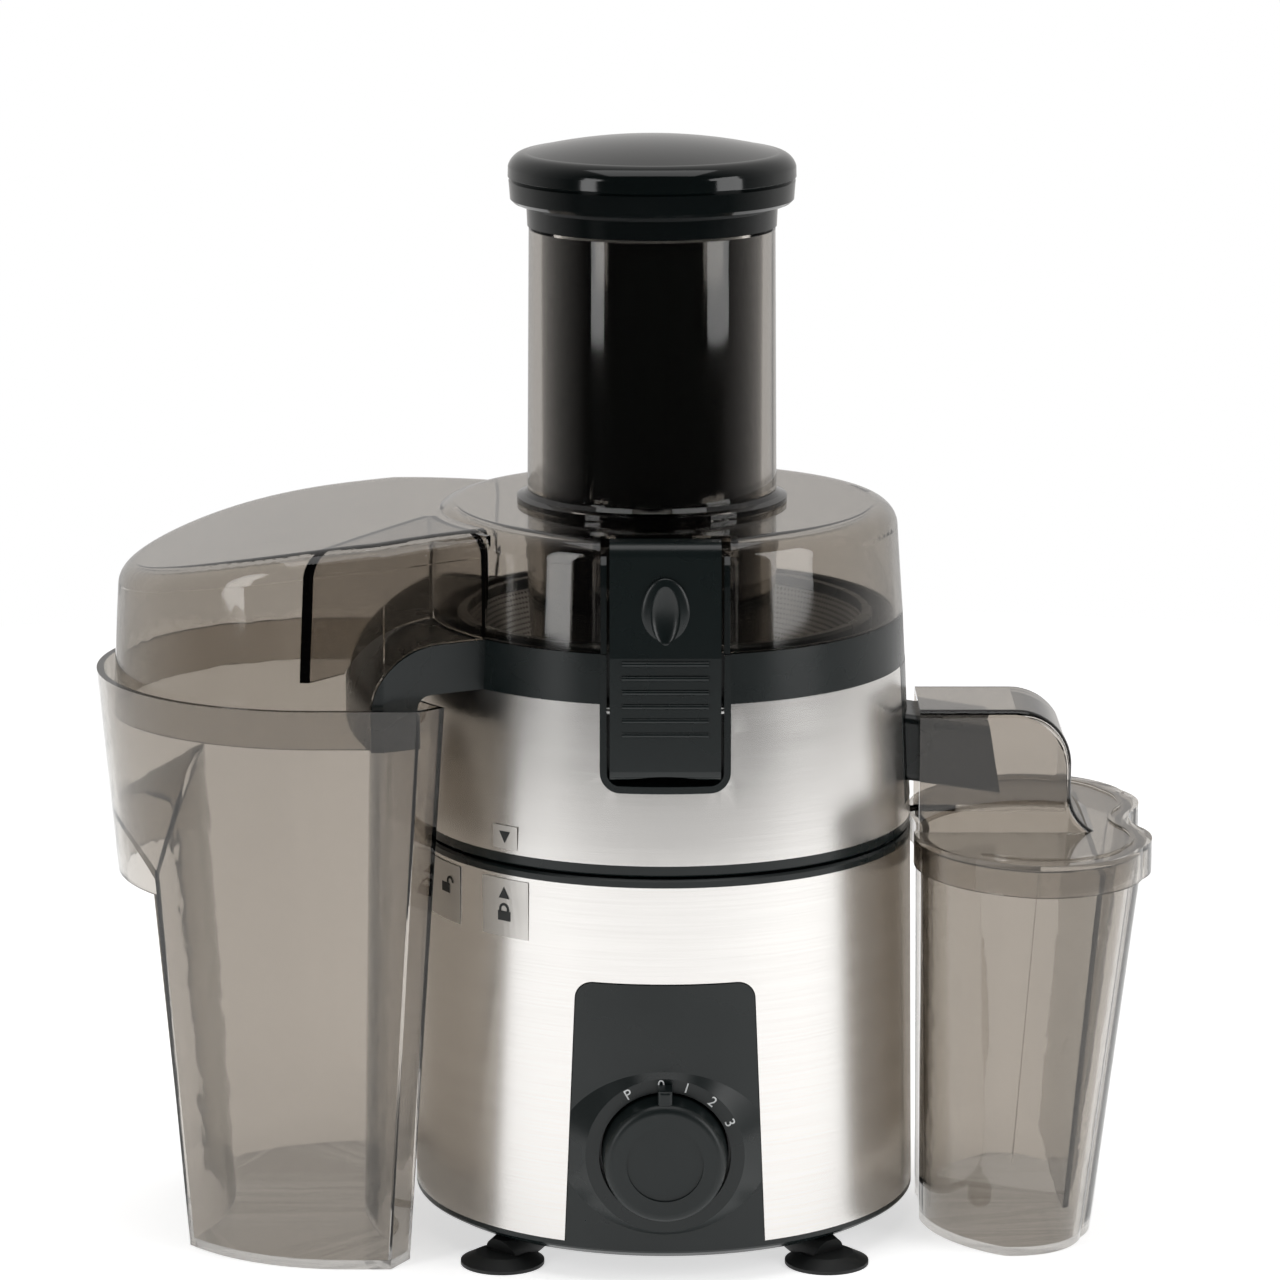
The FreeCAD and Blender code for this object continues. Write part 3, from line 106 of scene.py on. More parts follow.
def round_coordinates(tree: bpy.types.NodeTree) -> tuple[bpy.types.NodeSocket, bpy.types.NodeSocket]:
    """Adds nodes for the angle round the drive axis and the height.

    Args:
        tree: Tree the nodes go into.

    Returns:
        The angle in radians and the height in metres.
    """
    place = tree.nodes.new("ShaderNodeTexCoord")
    parts = tree.nodes.new("ShaderNodeSeparateXYZ")
    tree.links.new(place.outputs["Object"], parts.inputs[0])
    across = math_node(tree, "SUBTRACT", parts.outputs["X"], AXIS_X)
    angle = math_node(tree, "ARCTAN2", parts.outputs["Y"], across)
    return angle, parts.outputs["Z"]


def brushed_group() -> bpy.types.NodeTree:
    """Node group for fine lines that run round the drive axis.

    Returns:
        The group, with inputs Line Density and Line Length and outputs Lines and Bands.
    """
    group = bpy.data.node_groups.new("brushed_lines", "ShaderNodeTree")
    value_input(group, "Line Density", 1500.0)
    value_input(group, "Line Length", 1.4)
    for name in ("Lines", "Bands"):
        group.interface.new_socket(name, in_out="OUTPUT", socket_type="NodeSocketFloat")
    ins = group.nodes.new("NodeGroupInput")
    outs = group.nodes.new("NodeGroupOutput")
    angle, height = round_coordinates(group)
    across = math_node(group, "MULTIPLY", angle, ins.outputs["Line Length"])
    for name, share in (("Lines", 1.0), ("Bands", BAND_SHARE)):
        dense = math_node(group, "MULTIPLY", ins.outputs["Line Density"], share)
        place = group.nodes.new("ShaderNodeCombineXYZ")
        group.links.new(across, place.inputs["X"])
        group.links.new(math_node(group, "MULTIPLY", height, dense), place.inputs["Y"])
        noise = group.nodes.new("ShaderNodeTexNoise")
        noise.inputs["Scale"].default_value = 1.0
        noise.inputs["Detail"].default_value = 3.0
        group.links.new(place.outputs[0], noise.inputs["Vector"])
        group.links.new(noise.outputs["Fac"], outs.inputs[name])
    return group


def moulded_group() -> bpy.types.NodeTree:
    """Node group for the fine texture and faint smudges of a moulded surface.

    Returns:
        The group, with inputs Grain Scale and Smudge Scale and outputs Grain and Smudge.
    """
    group = bpy.data.node_groups.new("moulded_surface", "ShaderNodeTree")
    value_input(group, "Grain Scale", 1400.0)
    value_input(group, "Smudge Scale", 28.0)
    for name in ("Grain", "Smudge"):
        group.interface.new_socket(name, in_out="OUTPUT", socket_type="NodeSocketFloat")
    ins = group.nodes.new("NodeGroupInput")
    outs = group.nodes.new("NodeGroupOutput")
    place = group.nodes.new("ShaderNodeTexCoord")
    for name, scale, detail in (("Grain", "Grain Scale", 2.0), ("Smudge", "Smudge Scale", 4.0)):
        noise = group.nodes.new("ShaderNodeTexNoise")
        noise.inputs["Detail"].default_value = detail
        group.links.new(place.outputs["Object"], noise.inputs["Vector"])
        group.links.new(ins.outputs[scale], noise.inputs["Scale"])
        group.links.new(noise.outputs["Fac"], outs.inputs[name])
    return group


def perforated_group() -> bpy.types.NodeTree:
    """Node group for rows of small round holes round the drive axis.

    Returns:
        The group, with inputs Row Height, Holes Around and Hole Size and the output Hole.
    """
    group = bpy.data.node_groups.new("perforations", "ShaderNodeTree")
    value_input(group, "Row Height", 0.0016)
    value_input(group, "Holes Around", 260.0)
    value_input(group, "Hole Size", 0.28)
    group.interface.new_socket("Hole", in_out="OUTPUT", socket_type="NodeSocketFloat")
    ins = group.nodes.new("NodeGroupInput")
    outs = group.nodes.new("NodeGroupOutput")
    angle, height = round_coordinates(group)
    row = math_node(group, "DIVIDE", height, ins.outputs["Row Height"])
    odd = math_node(group, "MULTIPLY", math_node(group, "FLOOR", row), 0.5)
    full_turn = math_node(group, "DIVIDE", angle, 2 * math.pi)
    turn = math_node(group, "MULTIPLY", full_turn, ins.outputs["Holes Around"])
    column = math_node(group, "ADD", turn, odd)
    across = math_node(group, "SUBTRACT", math_node(group, "FRACT", column), 0.5)
    up = math_node(group, "SUBTRACT", math_node(group, "FRACT", row), 0.5)
    across_square = math_node(group, "MULTIPLY", across, across)
    square = math_node(group, "ADD", across_square, math_node(group, "MULTIPLY", up, up))
    distance = math_node(group, "SQRT", square)
    group.links.new(math_node(group, "LESS_THAN", distance, ins.outputs["Hole Size"]), outs.inputs["Hole"])
    return group


class SurfaceGroups:
    """The shader node groups that the finishes share."""

    def __init__(self) -> None:
        """Builds each group once."""
        self.brushed = brushed_group()
        self.moulded = moulded_group()
        self.perforated = perforated_group()

    def place(self, material: bpy.types.Material, group: bpy.types.NodeTree,
              values: dict[str, float]) -> bpy.types.Node:
        """Puts a group in a material with its own values.

        Args:
            material: Material that takes the group.
            group: The node group.
            values: Value of each named input.

        Returns:
            The group's node.
        """
        node = material.node_tree.nodes.new("ShaderNodeGroup")
        node.node_tree = group
        for name, value in values.items():
            node.inputs[name].default_value = value
        return node


def new_material(name: str) -> tuple[bpy.types.Material, bpy.types.Node]:
    """Makes a material with a Principled shader.

    Args:
        name: Name of the material.

    Returns:
        The material and its shader node.
    """
    material = bpy.data.materials.new(name)
    material.use_nodes = True
    return material, material.node_tree.nodes["Principled BSDF"]


def add_bump(material: bpy.types.Material, height: bpy.types.NodeSocket, strength: float,
             depth: float) -> None:
    """Feeds a height through a Bump node into the shader.

    Args:
        material: The material.
        height: Socket with the height.
        strength: Strength of the bump, 0 to 1.
        depth: Depth of the relief in metres.
    """
    tree = material.node_tree
    bump = tree.nodes.new("ShaderNodeBump")
    bump.inputs["Strength"].default_value = strength
    bump.inputs["Distance"].default_value = depth
    tree.links.new(height, bump.inputs["Height"])
    tree.links.new(bump.outputs["Normal"], tree.nodes["Principled BSDF"].inputs["Normal"])


def spread(tree: bpy.types.NodeTree, source: bpy.types.NodeSocket, low: float,
           high: float) -> bpy.types.NodeSocket:
    """Maps noise to a range of values.

    Args:
        tree: Tree the node goes into.
        source: Socket with the noise.
        low: Value where the noise is low.
        high: Value where the noise is high.

    Returns:
        The output socket.
    """
    node = tree.nodes.new("ShaderNodeMapRange")
    node.inputs["From Min"].default_value = NOISE_LOW
    node.inputs["From Max"].default_value = NOISE_HIGH
    node.inputs["To Min"].default_value = low
    node.inputs["To Max"].default_value = high
    tree.links.new(source, node.inputs["Value"])
    return node.outputs["Result"]


def mixed_colour(tree: bpy.types.NodeTree, share: bpy.types.NodeSocket, first: Colour,
                 second: Colour) -> bpy.types.NodeSocket:
    """Mixes two colours by a mask.

    Args:
        tree: Tree the node goes into.
        share: Socket with the mask.
        first: Colour where the mask is 0.
        second: Colour where the mask is 1.

    Returns:
        The output socket.
    """
    node = tree.nodes.new("ShaderNodeMix")
    node.data_type = "RGBA"
    node.inputs[6].default_value = first
    node.inputs[7].default_value = second
    tree.links.new(share, node.inputs["Factor"])
    return node.outputs[2]


# ---- Finishes ----
@dataclass(frozen=True)
class BrushedSteel:
    """Stainless sheet brushed round the drive axis."""

    name: str = "brushed_steel"
    bright: Colour = (0.79, 0.775, 0.755, 1.0)
    dull: Colour = (0.745, 0.728, 0.706, 1.0)
    roughness: tuple[float, float] = (0.235, 0.26)
    anisotropy: float = 0.55
    density: float = 1500.0

    def material(self, groups: SurfaceGroups) -> bpy.types.Material:
        """Makes the material.

        Args:
            groups: The shared node groups.

        Returns:
            The material.
        """
        material, shader = new_material(self.name)
        tree = material.node_tree
        lines = groups.place(material, groups.brushed, {"Line Density": self.density})
        shader.inputs["Metallic"].default_value = 1.0
        shader.inputs["Anisotropic"].default_value = self.anisotropy
        tint = mixed_colour(tree, spread(tree, lines.outputs["Lines"], 0.0, 1.0), self.bright, self.dull)
        tree.links.new(tint, shader.inputs["Base Color"])
        tree.links.new(spread(tree, lines.outputs["Bands"], *self.roughness), shader.inputs["Roughness"])
        tangent = tree.nodes.new("ShaderNodeTangent")
        tangent.direction_type = "RADIAL"
        tangent.axis = "Z"
        tree.links.new(tangent.outputs[0], shader.inputs["Tangent"])
        return material


@dataclass(frozen=True)
class Moulded:
    """Opaque moulded plastic, rubber, cast metal or wound wire."""

    name: str
    colour: Colour
    roughness: tuple[float, float] = (0.22, 0.3)
    metallic: float = 0.0
    gloss: float = 0.5
    grain: float = 1400.0
    relief: float = 0.00003
    relief_strength: float = 0.3

    def material(self, groups: SurfaceGroups) -> bpy.types.Material:
        """Makes the material.

        Args:
            groups: The shared node groups.

        Returns:
            The material.
        """
        material, shader = new_material(self.name)
        tree = material.node_tree
        surface = groups.place(material, groups.moulded, {"Grain Scale": self.grain})
        darker = (*(DARKER * part for part in self.colour[:3]), 1.0)
        tint = mixed_colour(tree, spread(tree, surface.outputs["Smudge"], 0.0, 1.0), self.colour, darker)
        tree.links.new(tint, shader.inputs["Base Color"])
        tree.links.new(spread(tree, surface.outputs["Smudge"], *self.roughness), shader.inputs["Roughness"])
        shader.inputs["Metallic"].default_value = self.metallic
        shader.inputs["Specular IOR Level"].default_value = self.gloss
        add_bump(material, surface.outputs["Grain"], self.relief_strength, self.relief)
        return material


@dataclass(frozen=True)
class SmokyPlastic:
    """Clear plastic with a smoke tint that darkens towards its edges."""

    name: str
    tint: Colour = (0.545, 0.512, 0.472, 1.0)
    edge: Colour = (0.045, 0.08, 0.08, 1.0)
    roughness: float = 0.025
    ior: float = 1.46
    smudge_scale: float = 14.0
    rim_blend: float = 0.22
    rim_power: float = 2.2

    def material(self, groups: SurfaceGroups) -> bpy.types.Material:
        """Makes the material.

        Args:
            groups: The shared node groups.

        Returns:
            The material.
        """
        material, shader = new_material(self.name)
        tree = material.node_tree
        surface = groups.place(material, groups.moulded, {"Smudge Scale": self.smudge_scale})
        facing = tree.nodes.new("ShaderNodeLayerWeight")
        facing.inputs["Blend"].default_value = self.rim_blend
        share = math_node(tree, "POWER", facing.outputs["Facing"], self.rim_power)
        tree.links.new(mixed_colour(tree, share, self.tint, self.edge), shader.inputs["Base Color"])
        rough = spread(tree, surface.outputs["Smudge"], self.roughness, self.roughness * 2.0)
        tree.links.new(rough, shader.inputs["Roughness"])
        shader.inputs["Transmission Weight"].default_value = 1.0
        shader.inputs["IOR"].default_value = self.ior
        return material


@dataclass(frozen=True)
class Sieve:
    """Etched stainless sheet with rows of fine holes."""

    name: str = "sieve_steel"
    steel: Colour = (0.62, 0.61, 0.6, 1.0)
    hole: Colour = (0.03, 0.032, 0.032, 1.0)
    roughness: float = 0.34

    def material(self, groups: SurfaceGroups) -> bpy.types.Material:
        """Makes the material.

        Args:
            groups: The shared node groups.

        Returns:
            The material.
        """
        material, shader = new_material(self.name)
        tree = material.node_tree
        holes = groups.place(material, groups.perforated, {})
        tint = mixed_colour(tree, holes.outputs["Hole"], self.steel, self.hole)
        tree.links.new(tint, shader.inputs["Base Color"])
        metal = math_node(tree, "SUBTRACT", 1.0, holes.outputs["Hole"])
        tree.links.new(metal, shader.inputs["Metallic"])
        shader.inputs["Roughness"].default_value = self.roughness
        return material


class Finishes:
    """Every finish of the juicer, made once."""

    def __init__(self) -> None:
        """Builds the node groups and the materials."""
        groups = SurfaceGroups()
        kinds = [
            BrushedSteel(),
            BrushedSteel("turned_steel", (0.62, 0.62, 0.61, 1), (0.5, 0.5, 0.49, 1), (0.28, 0.4),
                         anisotropy=0.0, density=1800.0),
            Sieve(),
            Moulded("black_plastic", (0.0065, 0.0105, 0.0107, 1), (0.24, 0.31), gloss=0.4),
            Moulded("pusher_plastic", (0.0035, 0.0055, 0.0056, 1), (0.08, 0.12), gloss=0.4,
                    relief=0.00001),
            Moulded("knob_plastic", (0.0065, 0.0105, 0.0107, 1), (0.34, 0.42), gloss=0.4),
            SmokyPlastic("smoky_plastic"),
            Moulded("inner_plastic", (0.05, 0.055, 0.055, 1), (0.45, 0.6)),
            Moulded("hub_plastic", (0.09, 0.1, 0.1, 1), (0.4, 0.52)),
            Moulded("rubber", (0.006, 0.007, 0.007, 1), (0.5, 0.65), grain=900.0),
            Moulded("lamination", (0.26, 0.26, 0.27, 1), (0.4, 0.5), metallic=0.9),
            Moulded("copper", (0.62, 0.27, 0.12, 1), (0.25, 0.35), metallic=1.0, grain=2400.0,
                    relief=0.0001),
            Moulded("zinc", (0.55, 0.56, 0.57, 1), (0.4, 0.55), metallic=1.0, grain=700.0,
                    relief=0.0001),
            Moulded("carbon", (0.03, 0.03, 0.03, 1), (0.5, 0.6)),
            Moulded("print_white", (0.82, 0.84, 0.84, 1), (0.4, 0.5)),
            Moulded("print_black", (0.02, 0.022, 0.022, 1), (0.4, 0.5)),
            Moulded("clear_label", (0.70, 0.68, 0.65, 1), (0.3, 0.36), metallic=0.75),
        ]
        self.made = {kind.name: kind.material(groups) for kind in kinds}

    def __getitem__(self, name: str) -> bpy.types.Material:
        """The material of that name."""
        return self.made[name]

    def dress_nodes(self, name: str, nodes: tuple[str, ...]) -> None:
        """Gives CAD nodes a finish.

        Args:
            name: Name of the finish.
            nodes: Names of the CAD nodes.
        """
        for node in nodes:
            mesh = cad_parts[node].data
            mesh.materials.clear()
            mesh.materials.append(self.made[name])
            LOG.info("node %s: %s", node, name)


# ---- Meshes ----
def new_piece(name: str, mesh: bpy.types.Mesh, material: bpy.types.Material, body: Body) -> bpy.types.Object:
    """Makes an object from a mesh and fixes it to a body.

    Args:
        name: Name of the piece.
        mesh: Mesh in the frame of the CAD.
        material: Its finish.
        body: Body it rides on.

    Returns:
        The object.
    """
    mesh.materials.clear()
    mesh.materials.append(material)
    piece = bpy.data.objects.new(name, mesh)
    bpy.context.scene.collection.objects.link(piece)
    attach(piece, body.value)
    LOG.info("piece %s: %d faces", name, len(mesh.polygons))
    return piece


def slabs(name: str, outlines: list[list[tuple[Vector, Vector]]]) -> bpy.types.Mesh:
    """Closed slabs from strips of front and back points.

    Args:
        name: Name of the mesh.
        outlines: For each slab, pairs of front and back points, anticlockwise as seen from the front.

    Returns:
        The mesh.
    """
    points: list[Vector] = []
    faces: list[list[int]] = []
    for outline in outlines:
        start, count = len(points), len(outline)
        points += [front for front, _ in outline] + [back for _, back in outline]
        faces.append([start + i for i in range(count)])
        faces.append([start + count + i for i in reversed(range(count))])
        for i in range(count):
            j = (i + 1) % count
            faces.append([start + i, start + count + i, start + count + j, start + j])
    mesh = bpy.data.meshes.new(name)
    mesh.from_pydata(points, [], faces)
    mesh.update()
    return mesh


@dataclass(frozen=True)
class Wrap:
    """Place on a round sleeve where a print or label lies."""

    turn: float         # degrees to the left of the front
    height: float
    radius: float
    lift: float = 0.00012
    thickness: float = 0.0001

    def outline(self, corners: list[Point]) -> list[tuple[Vector, Vector]]:
        """Bends a flat outline round the sleeve.

        Args:
            corners: Points (right, up) from the middle, in metres.

        Returns:
            Front and back points.
        """
        bent = []
        for right, up in corners:
            angle = math.radians(-90.0 - self.turn) + right / self.radius
            outwards = Vector((math.cos(angle), math.sin(angle), 0.0))
            foot = Vector((AXIS_X, 0.0, self.height + up))
            far = self.radius + self.lift + self.thickness
            bent.append((foot + outwards * far, foot + outwards * (self.radius + self.lift)))
        return bent

    def band(self, half: Point, wide: int = 8) -> list[tuple[Vector, Vector]]:
        """Bends a rectangle so that it follows the sleeve.

        Args:
            half: Half its width and half its height.
            wide: Number of straight steps across it.

        Returns:
            Front and back points.
        """
        x, z = half
        steps = [2 * x * i / wide - x for i in range(wide + 1)]
        return self.outline([(step, -z) for step in steps] + [(step, z) for step in reversed(steps)])


def arrow_shape(width: float, height: float, up: bool) -> list[Point]:
    """Triangle that points up or down.

    Args:
        width: Width of its base.
        height: Its height.
        up: True if it points up.

    Returns:
        The corners, anticlockwise.
    """
    if up:
        return [(-width / 2, -height / 2), (width / 2, -height / 2), (0.0, height / 2)]
    return [(-width / 2, height / 2), (0.0, -height / 2), (width / 2, height / 2)]


def padlock_shapes(size: float, opened: bool) -> list[list[Point]]:
    """Body and shackle of a padlock symbol.

    Args:
        size: Width of its body.
        opened: True if the shackle hangs open.

    Returns:
        Outlines of convex pieces, anticlockwise.
    """
    half, tall = size / 2, size * 0.62
    shapes = [[(-half, -tall), (half, -tall), (half, 0.0), (-half, 0.0)]]
    outer, inner, shift = size * 0.40, size * 0.24, (size * 0.55 if opened else 0.0)
    rise = size * 0.12
    steps = 8
    for step in range(steps):
        a, b = math.pi * step / steps, math.pi * (step + 1) / steps
        shapes.append([(shift + r * math.cos(t), rise + r * math.sin(t))
                       for r, t in ((inner, a), (outer, a), (outer, b), (inner, b))])
    legs = ((inner, outer), (-outer, -inner))
    for left, right in (legs[1:] if opened else legs):
        left, right = shift + left, shift + right
        shapes.append([(left, 0.0), (right, 0.0), (right, rise), (left, rise)])
    return shapes


# ---- Geometry Nodes ----
class GeometryTree:
    """A Geometry Nodes tree with named inputs, built step by step."""

    def __init__(self, name: str, inputs: dict[str, float]) -> None:
        """Starts the tree.

        Args:
            name: Name of the tree.
            inputs: Name and value of each number input.
        """
        self.tree = bpy.data.node_groups.new(name, "GeometryNodeTree")
        self.values = inputs
        interface = self.tree.interface
        interface.new_socket("Geometry", in_out="OUTPUT", socket_type="NodeSocketGeometry")
        for key, value in inputs.items():
            interface.new_socket(key, in_out="INPUT", socket_type="NodeSocketFloat").default_value = value
        interface.new_socket("Finish", in_out="INPUT", socket_type="NodeSocketMaterial")
        self.inputs = self.tree.nodes.new("NodeGroupInput")
        self.output = self.tree.nodes.new("NodeGroupOutput")

    def node(self, kind: str, links: dict[str | int, object] | None = None,
             **settings: object) -> bpy.types.Node:
        """Adds a node.

        Args:
            kind: Type of the node, without its prefix.
            links: Socket or value for each input.
            **settings: Properties of the node.

        Returns:
            The node.
        """
        prefix = "ShaderNode" if kind in ("Math", "CombineXYZ") else "GeometryNode"
        made = self.tree.nodes.new(prefix + kind)
        for key, value in settings.items():
            setattr(made, key, value)
        for key, value in (links or {}).items():
            if isinstance(value, bpy.types.NodeSocket):
                self.tree.links.new(value, made.inputs[key])
            else:
                made.inputs[key].default_value = value
        return made

    def math(self, operation: str, first: object, second: object) -> bpy.types.NodeSocket:
        """Adds a Math node and returns its result."""
        return self.node("Math", {0: first, 1: second}, operation=operation).outputs[0]

    def close(self, geometry: bpy.types.NodeSocket) -> None:
        """Ends the tree with real geometry and its finish.

        Args:
            geometry: Socket with the finished geometry.
        """
        real = self.node("RealizeInstances", {0: geometry})
        finish = self.inputs.outputs["Finish"]
        dressed = self.node("SetMaterial", {"Geometry": real.outputs[0], "Material": finish})
        self.tree.links.new(dressed.outputs[0], self.output.inputs[0])

    def mesh(self, name: str, material: bpy.types.Material) -> bpy.types.Mesh:
        """Runs the tree and keeps its result as a plain mesh.

        Args:
            name: Name of the mesh.
            material: Material for the Finish input.

        Returns:
            The mesh.
        """
        carrier = bpy.data.objects.new(name + "_carrier", bpy.data.meshes.new(name + "_carrier"))
        bpy.context.scene.collection.objects.link(carrier)
        modifier = carrier.modifiers.new("shape", "NODES")
        modifier.node_group = self.tree
        for item in self.tree.interface.items_tree:
            if item.in_out != "INPUT":
                continue
            modifier[item.identifier] = material if item.name == "Finish" else self.values[item.name]
        graph = bpy.context.evaluated_depsgraph_get()
        made = bpy.data.meshes.new_from_object(carrier.evaluated_get(graph), depsgraph=graph)
        made.name = name
        bpy.data.objects.remove(carrier)
        return made


# ---- Sub-assemblies ----
@dataclass
class Base:
    """Motor base: steel sleeve, black plinth, control panel and motor."""

    finishes: Finishes
    sleeve_radius: float = 0.0898
    label_height: float = 0.132
    label_half: Point = (0.0105, 0.0105)
    spare_label_half: Point = (0.011, 0.0105)
    lock_turn: float = 39.0
    spare_label_turn: float = 61.0
    open_lock_turn: float = 60.0
    lock_size: float = 0.0056
    arrow_size: Point = (0.0048, 0.0042)
    mark_radius: float = 0.0257
    mark_size: float = 0.0052
    mark_depth: float = 0.00008
    mark_lift: float = 0.00006
    dial_height: float = 0.048
    mark_face: float = -0.093
    gland_height: float = 0.032
    rib_radius: float = 0.0007
    rib_count: int = 5
    hoop_radius: float = 0.0068
    hoop_narrowing: float = 0.0014
    first_rib: float = 0.0955
    last_rib: float = 0.1025
    marks: tuple[tuple[str, float], ...] = (
        ("P", -30.0), ("0", -3.0), ("1", 17.0), ("2", 40.0), ("3", 62.0))

    def build(self) -> None:
        """Makes the speed marks, the lock labels and the ribs of the cord gland."""
        self.speed_marks()
        self.lock_labels()
        self.gland_ribs()

    def gland_ribs(self) -> None:
        """Makes the strain relief's ribs with Geometry Nodes, each one narrower than the last."""
        values = {"Rib Radius": self.rib_radius, "Axis": AXIS_X, "Height": self.gland_height}
        tree = GeometryTree("gland_ribs", values)
        rib_radius = tree.inputs.outputs["Rib Radius"]
        profile = tree.node("CurvePrimitiveCircle", {"Resolution": 10, "Radius": rib_radius})
        joined = tree.node("JoinGeometry")
        for step in range(self.rib_count):
            share = step / (self.rib_count - 1)
            radius = self.hoop_radius - self.hoop_narrowing * share
            hoop = tree.node("CurvePrimitiveCircle", {"Resolution": 40, "Radius": radius})
            rib = tree.node("CurveToMesh", {"Curve": hoop.outputs[0], "Profile Curve": profile.outputs[0]})
            along = self.first_rib + (self.last_rib - self.first_rib) * share
            place = tree.node("CombineXYZ", {"X": tree.inputs.outputs["Axis"], "Y": along,
                                             "Z": tree.inputs.outputs["Height"]})
            moved = tree.node("Transform", {"Geometry": rib.outputs[0], "Translation": place.outputs[0],
                                            "Rotation": (math.pi / 2, 0.0, 0.0)})
            tree.tree.links.new(moved.outputs[0], joined.inputs[0])
        tree.close(joined.outputs[0])
        mesh = tree.mesh("gland_ribs", self.finishes["rubber"])
        new_piece("gland_ribs", mesh, self.finishes["rubber"], Body.BASE)

    def speed_marks(self) -> None:
        """Makes the letters and digits round the dial as one mesh."""
        points: list[Vector] = []
        faces: list[list[int]] = []
        for text, turn in self.marks:
            curve = bpy.data.curves.new("mark", "FONT")
            curve.body = text
            curve.size = self.mark_size
            curve.extrude = self.mark_depth
            curve.align_x = "CENTER"
            curve.align_y = "CENTER"
            holder = bpy.data.objects.new("mark", curve)
            bpy.context.scene.collection.objects.link(holder)
            graph = bpy.context.evaluated_depsgraph_get()
            mesh = bpy.data.meshes.new_from_object(holder.evaluated_get(graph))
            angle = math.radians(turn)
            centre = Vector((AXIS_X + self.mark_radius * math.sin(angle), self.mark_face - self.mark_lift,
                             self.dial_height + self.mark_radius * math.cos(angle)))
            turned = Matrix.Rotation(angle, 4, "Y") @ Matrix.Rotation(math.pi / 2, 4, "X")
            start = len(points)
            points += [centre + turned @ vertex.co for vertex in mesh.vertices]
            faces += [[start + i for i in face.vertices] for face in mesh.polygons]
            bpy.data.objects.remove(holder)
        mesh = bpy.data.meshes.new("speed_marks")
        mesh.from_pydata(points, [], faces)
        new_piece("speed_marks", mesh, self.finishes["print_white"], Body.BASE)

    def lock_labels(self) -> None:
        """Makes the clear labels with the lock symbols on the sleeve."""
        shut = Wrap(self.lock_turn, self.label_height, self.sleeve_radius)
        spare = Wrap(self.spare_label_turn, self.label_height, self.sleeve_radius)
        plates = [shut.band(self.label_half), spare.band(self.spare_label_half)]
        labels = slabs("lock_labels", plates)
        new_piece("lock_labels", labels, self.finishes["clear_label"], Body.BASE)
        over = self.sleeve_radius + PRINT_LIFT
        top = Wrap(self.lock_turn, self.label_height + 0.0055, over)
        low = Wrap(self.lock_turn, self.label_height - 0.0012, over)
        open_lock = Wrap(self.open_lock_turn, self.label_height + 0.003, over)
        prints = [top.outline(arrow_shape(*self.arrow_size, True))]
        prints += [low.outline(shape) for shape in padlock_shapes(self.lock_size, False)]
        prints += [open_lock.outline(shape) for shape in padlock_shapes(self.lock_size, True)]
        new_piece("lock_marks", slabs("lock_marks", prints), self.finishes["print_black"], Body.BASE)

    def dress(self) -> None:
        """Gives the base's CAD nodes their finishes."""
        self.finishes.dress_nodes("brushed_steel", ("base_sleeve",))
        black = ("base_collar", "bottom_cover", "control_panel", "cord_gland")
        self.finishes.dress_nodes("black_plastic", black)
        self.finishes.dress_nodes("rubber", ("suction_feet", "motor_dampers", "shaft_seal"))
        inner = ("base_frame", "brush_holders", "speed_switch", "interlock_switch")
        self.finishes.dress_nodes("inner_plastic", inner)
        self.finishes.dress_nodes("turned_steel", ("motor_bearings", "motor_screws", "bottom_screws"))
        self.finishes.dress_nodes("lamination", ("motor_stator",))
        self.finishes.dress_nodes("copper", ("stator_coils",))
        self.finishes.dress_nodes("zinc", ("upper_bracket", "lower_bracket"))
        self.finishes.dress_nodes("carbon", ("carbon_brushes",))


@dataclass
class Dial:
    """Speed dial."""

    finishes: Finishes

    def build(self) -> None:
        """Adds nothing: the knob's shape is all in the CAD."""

    def dress(self) -> None:
        """Gives the dial's CAD nodes their finishes."""
        self.finishes.dress_nodes("knob_plastic", ("dial_knob",))
        self.finishes.dress_nodes("turned_steel", ("dial_spindle",))


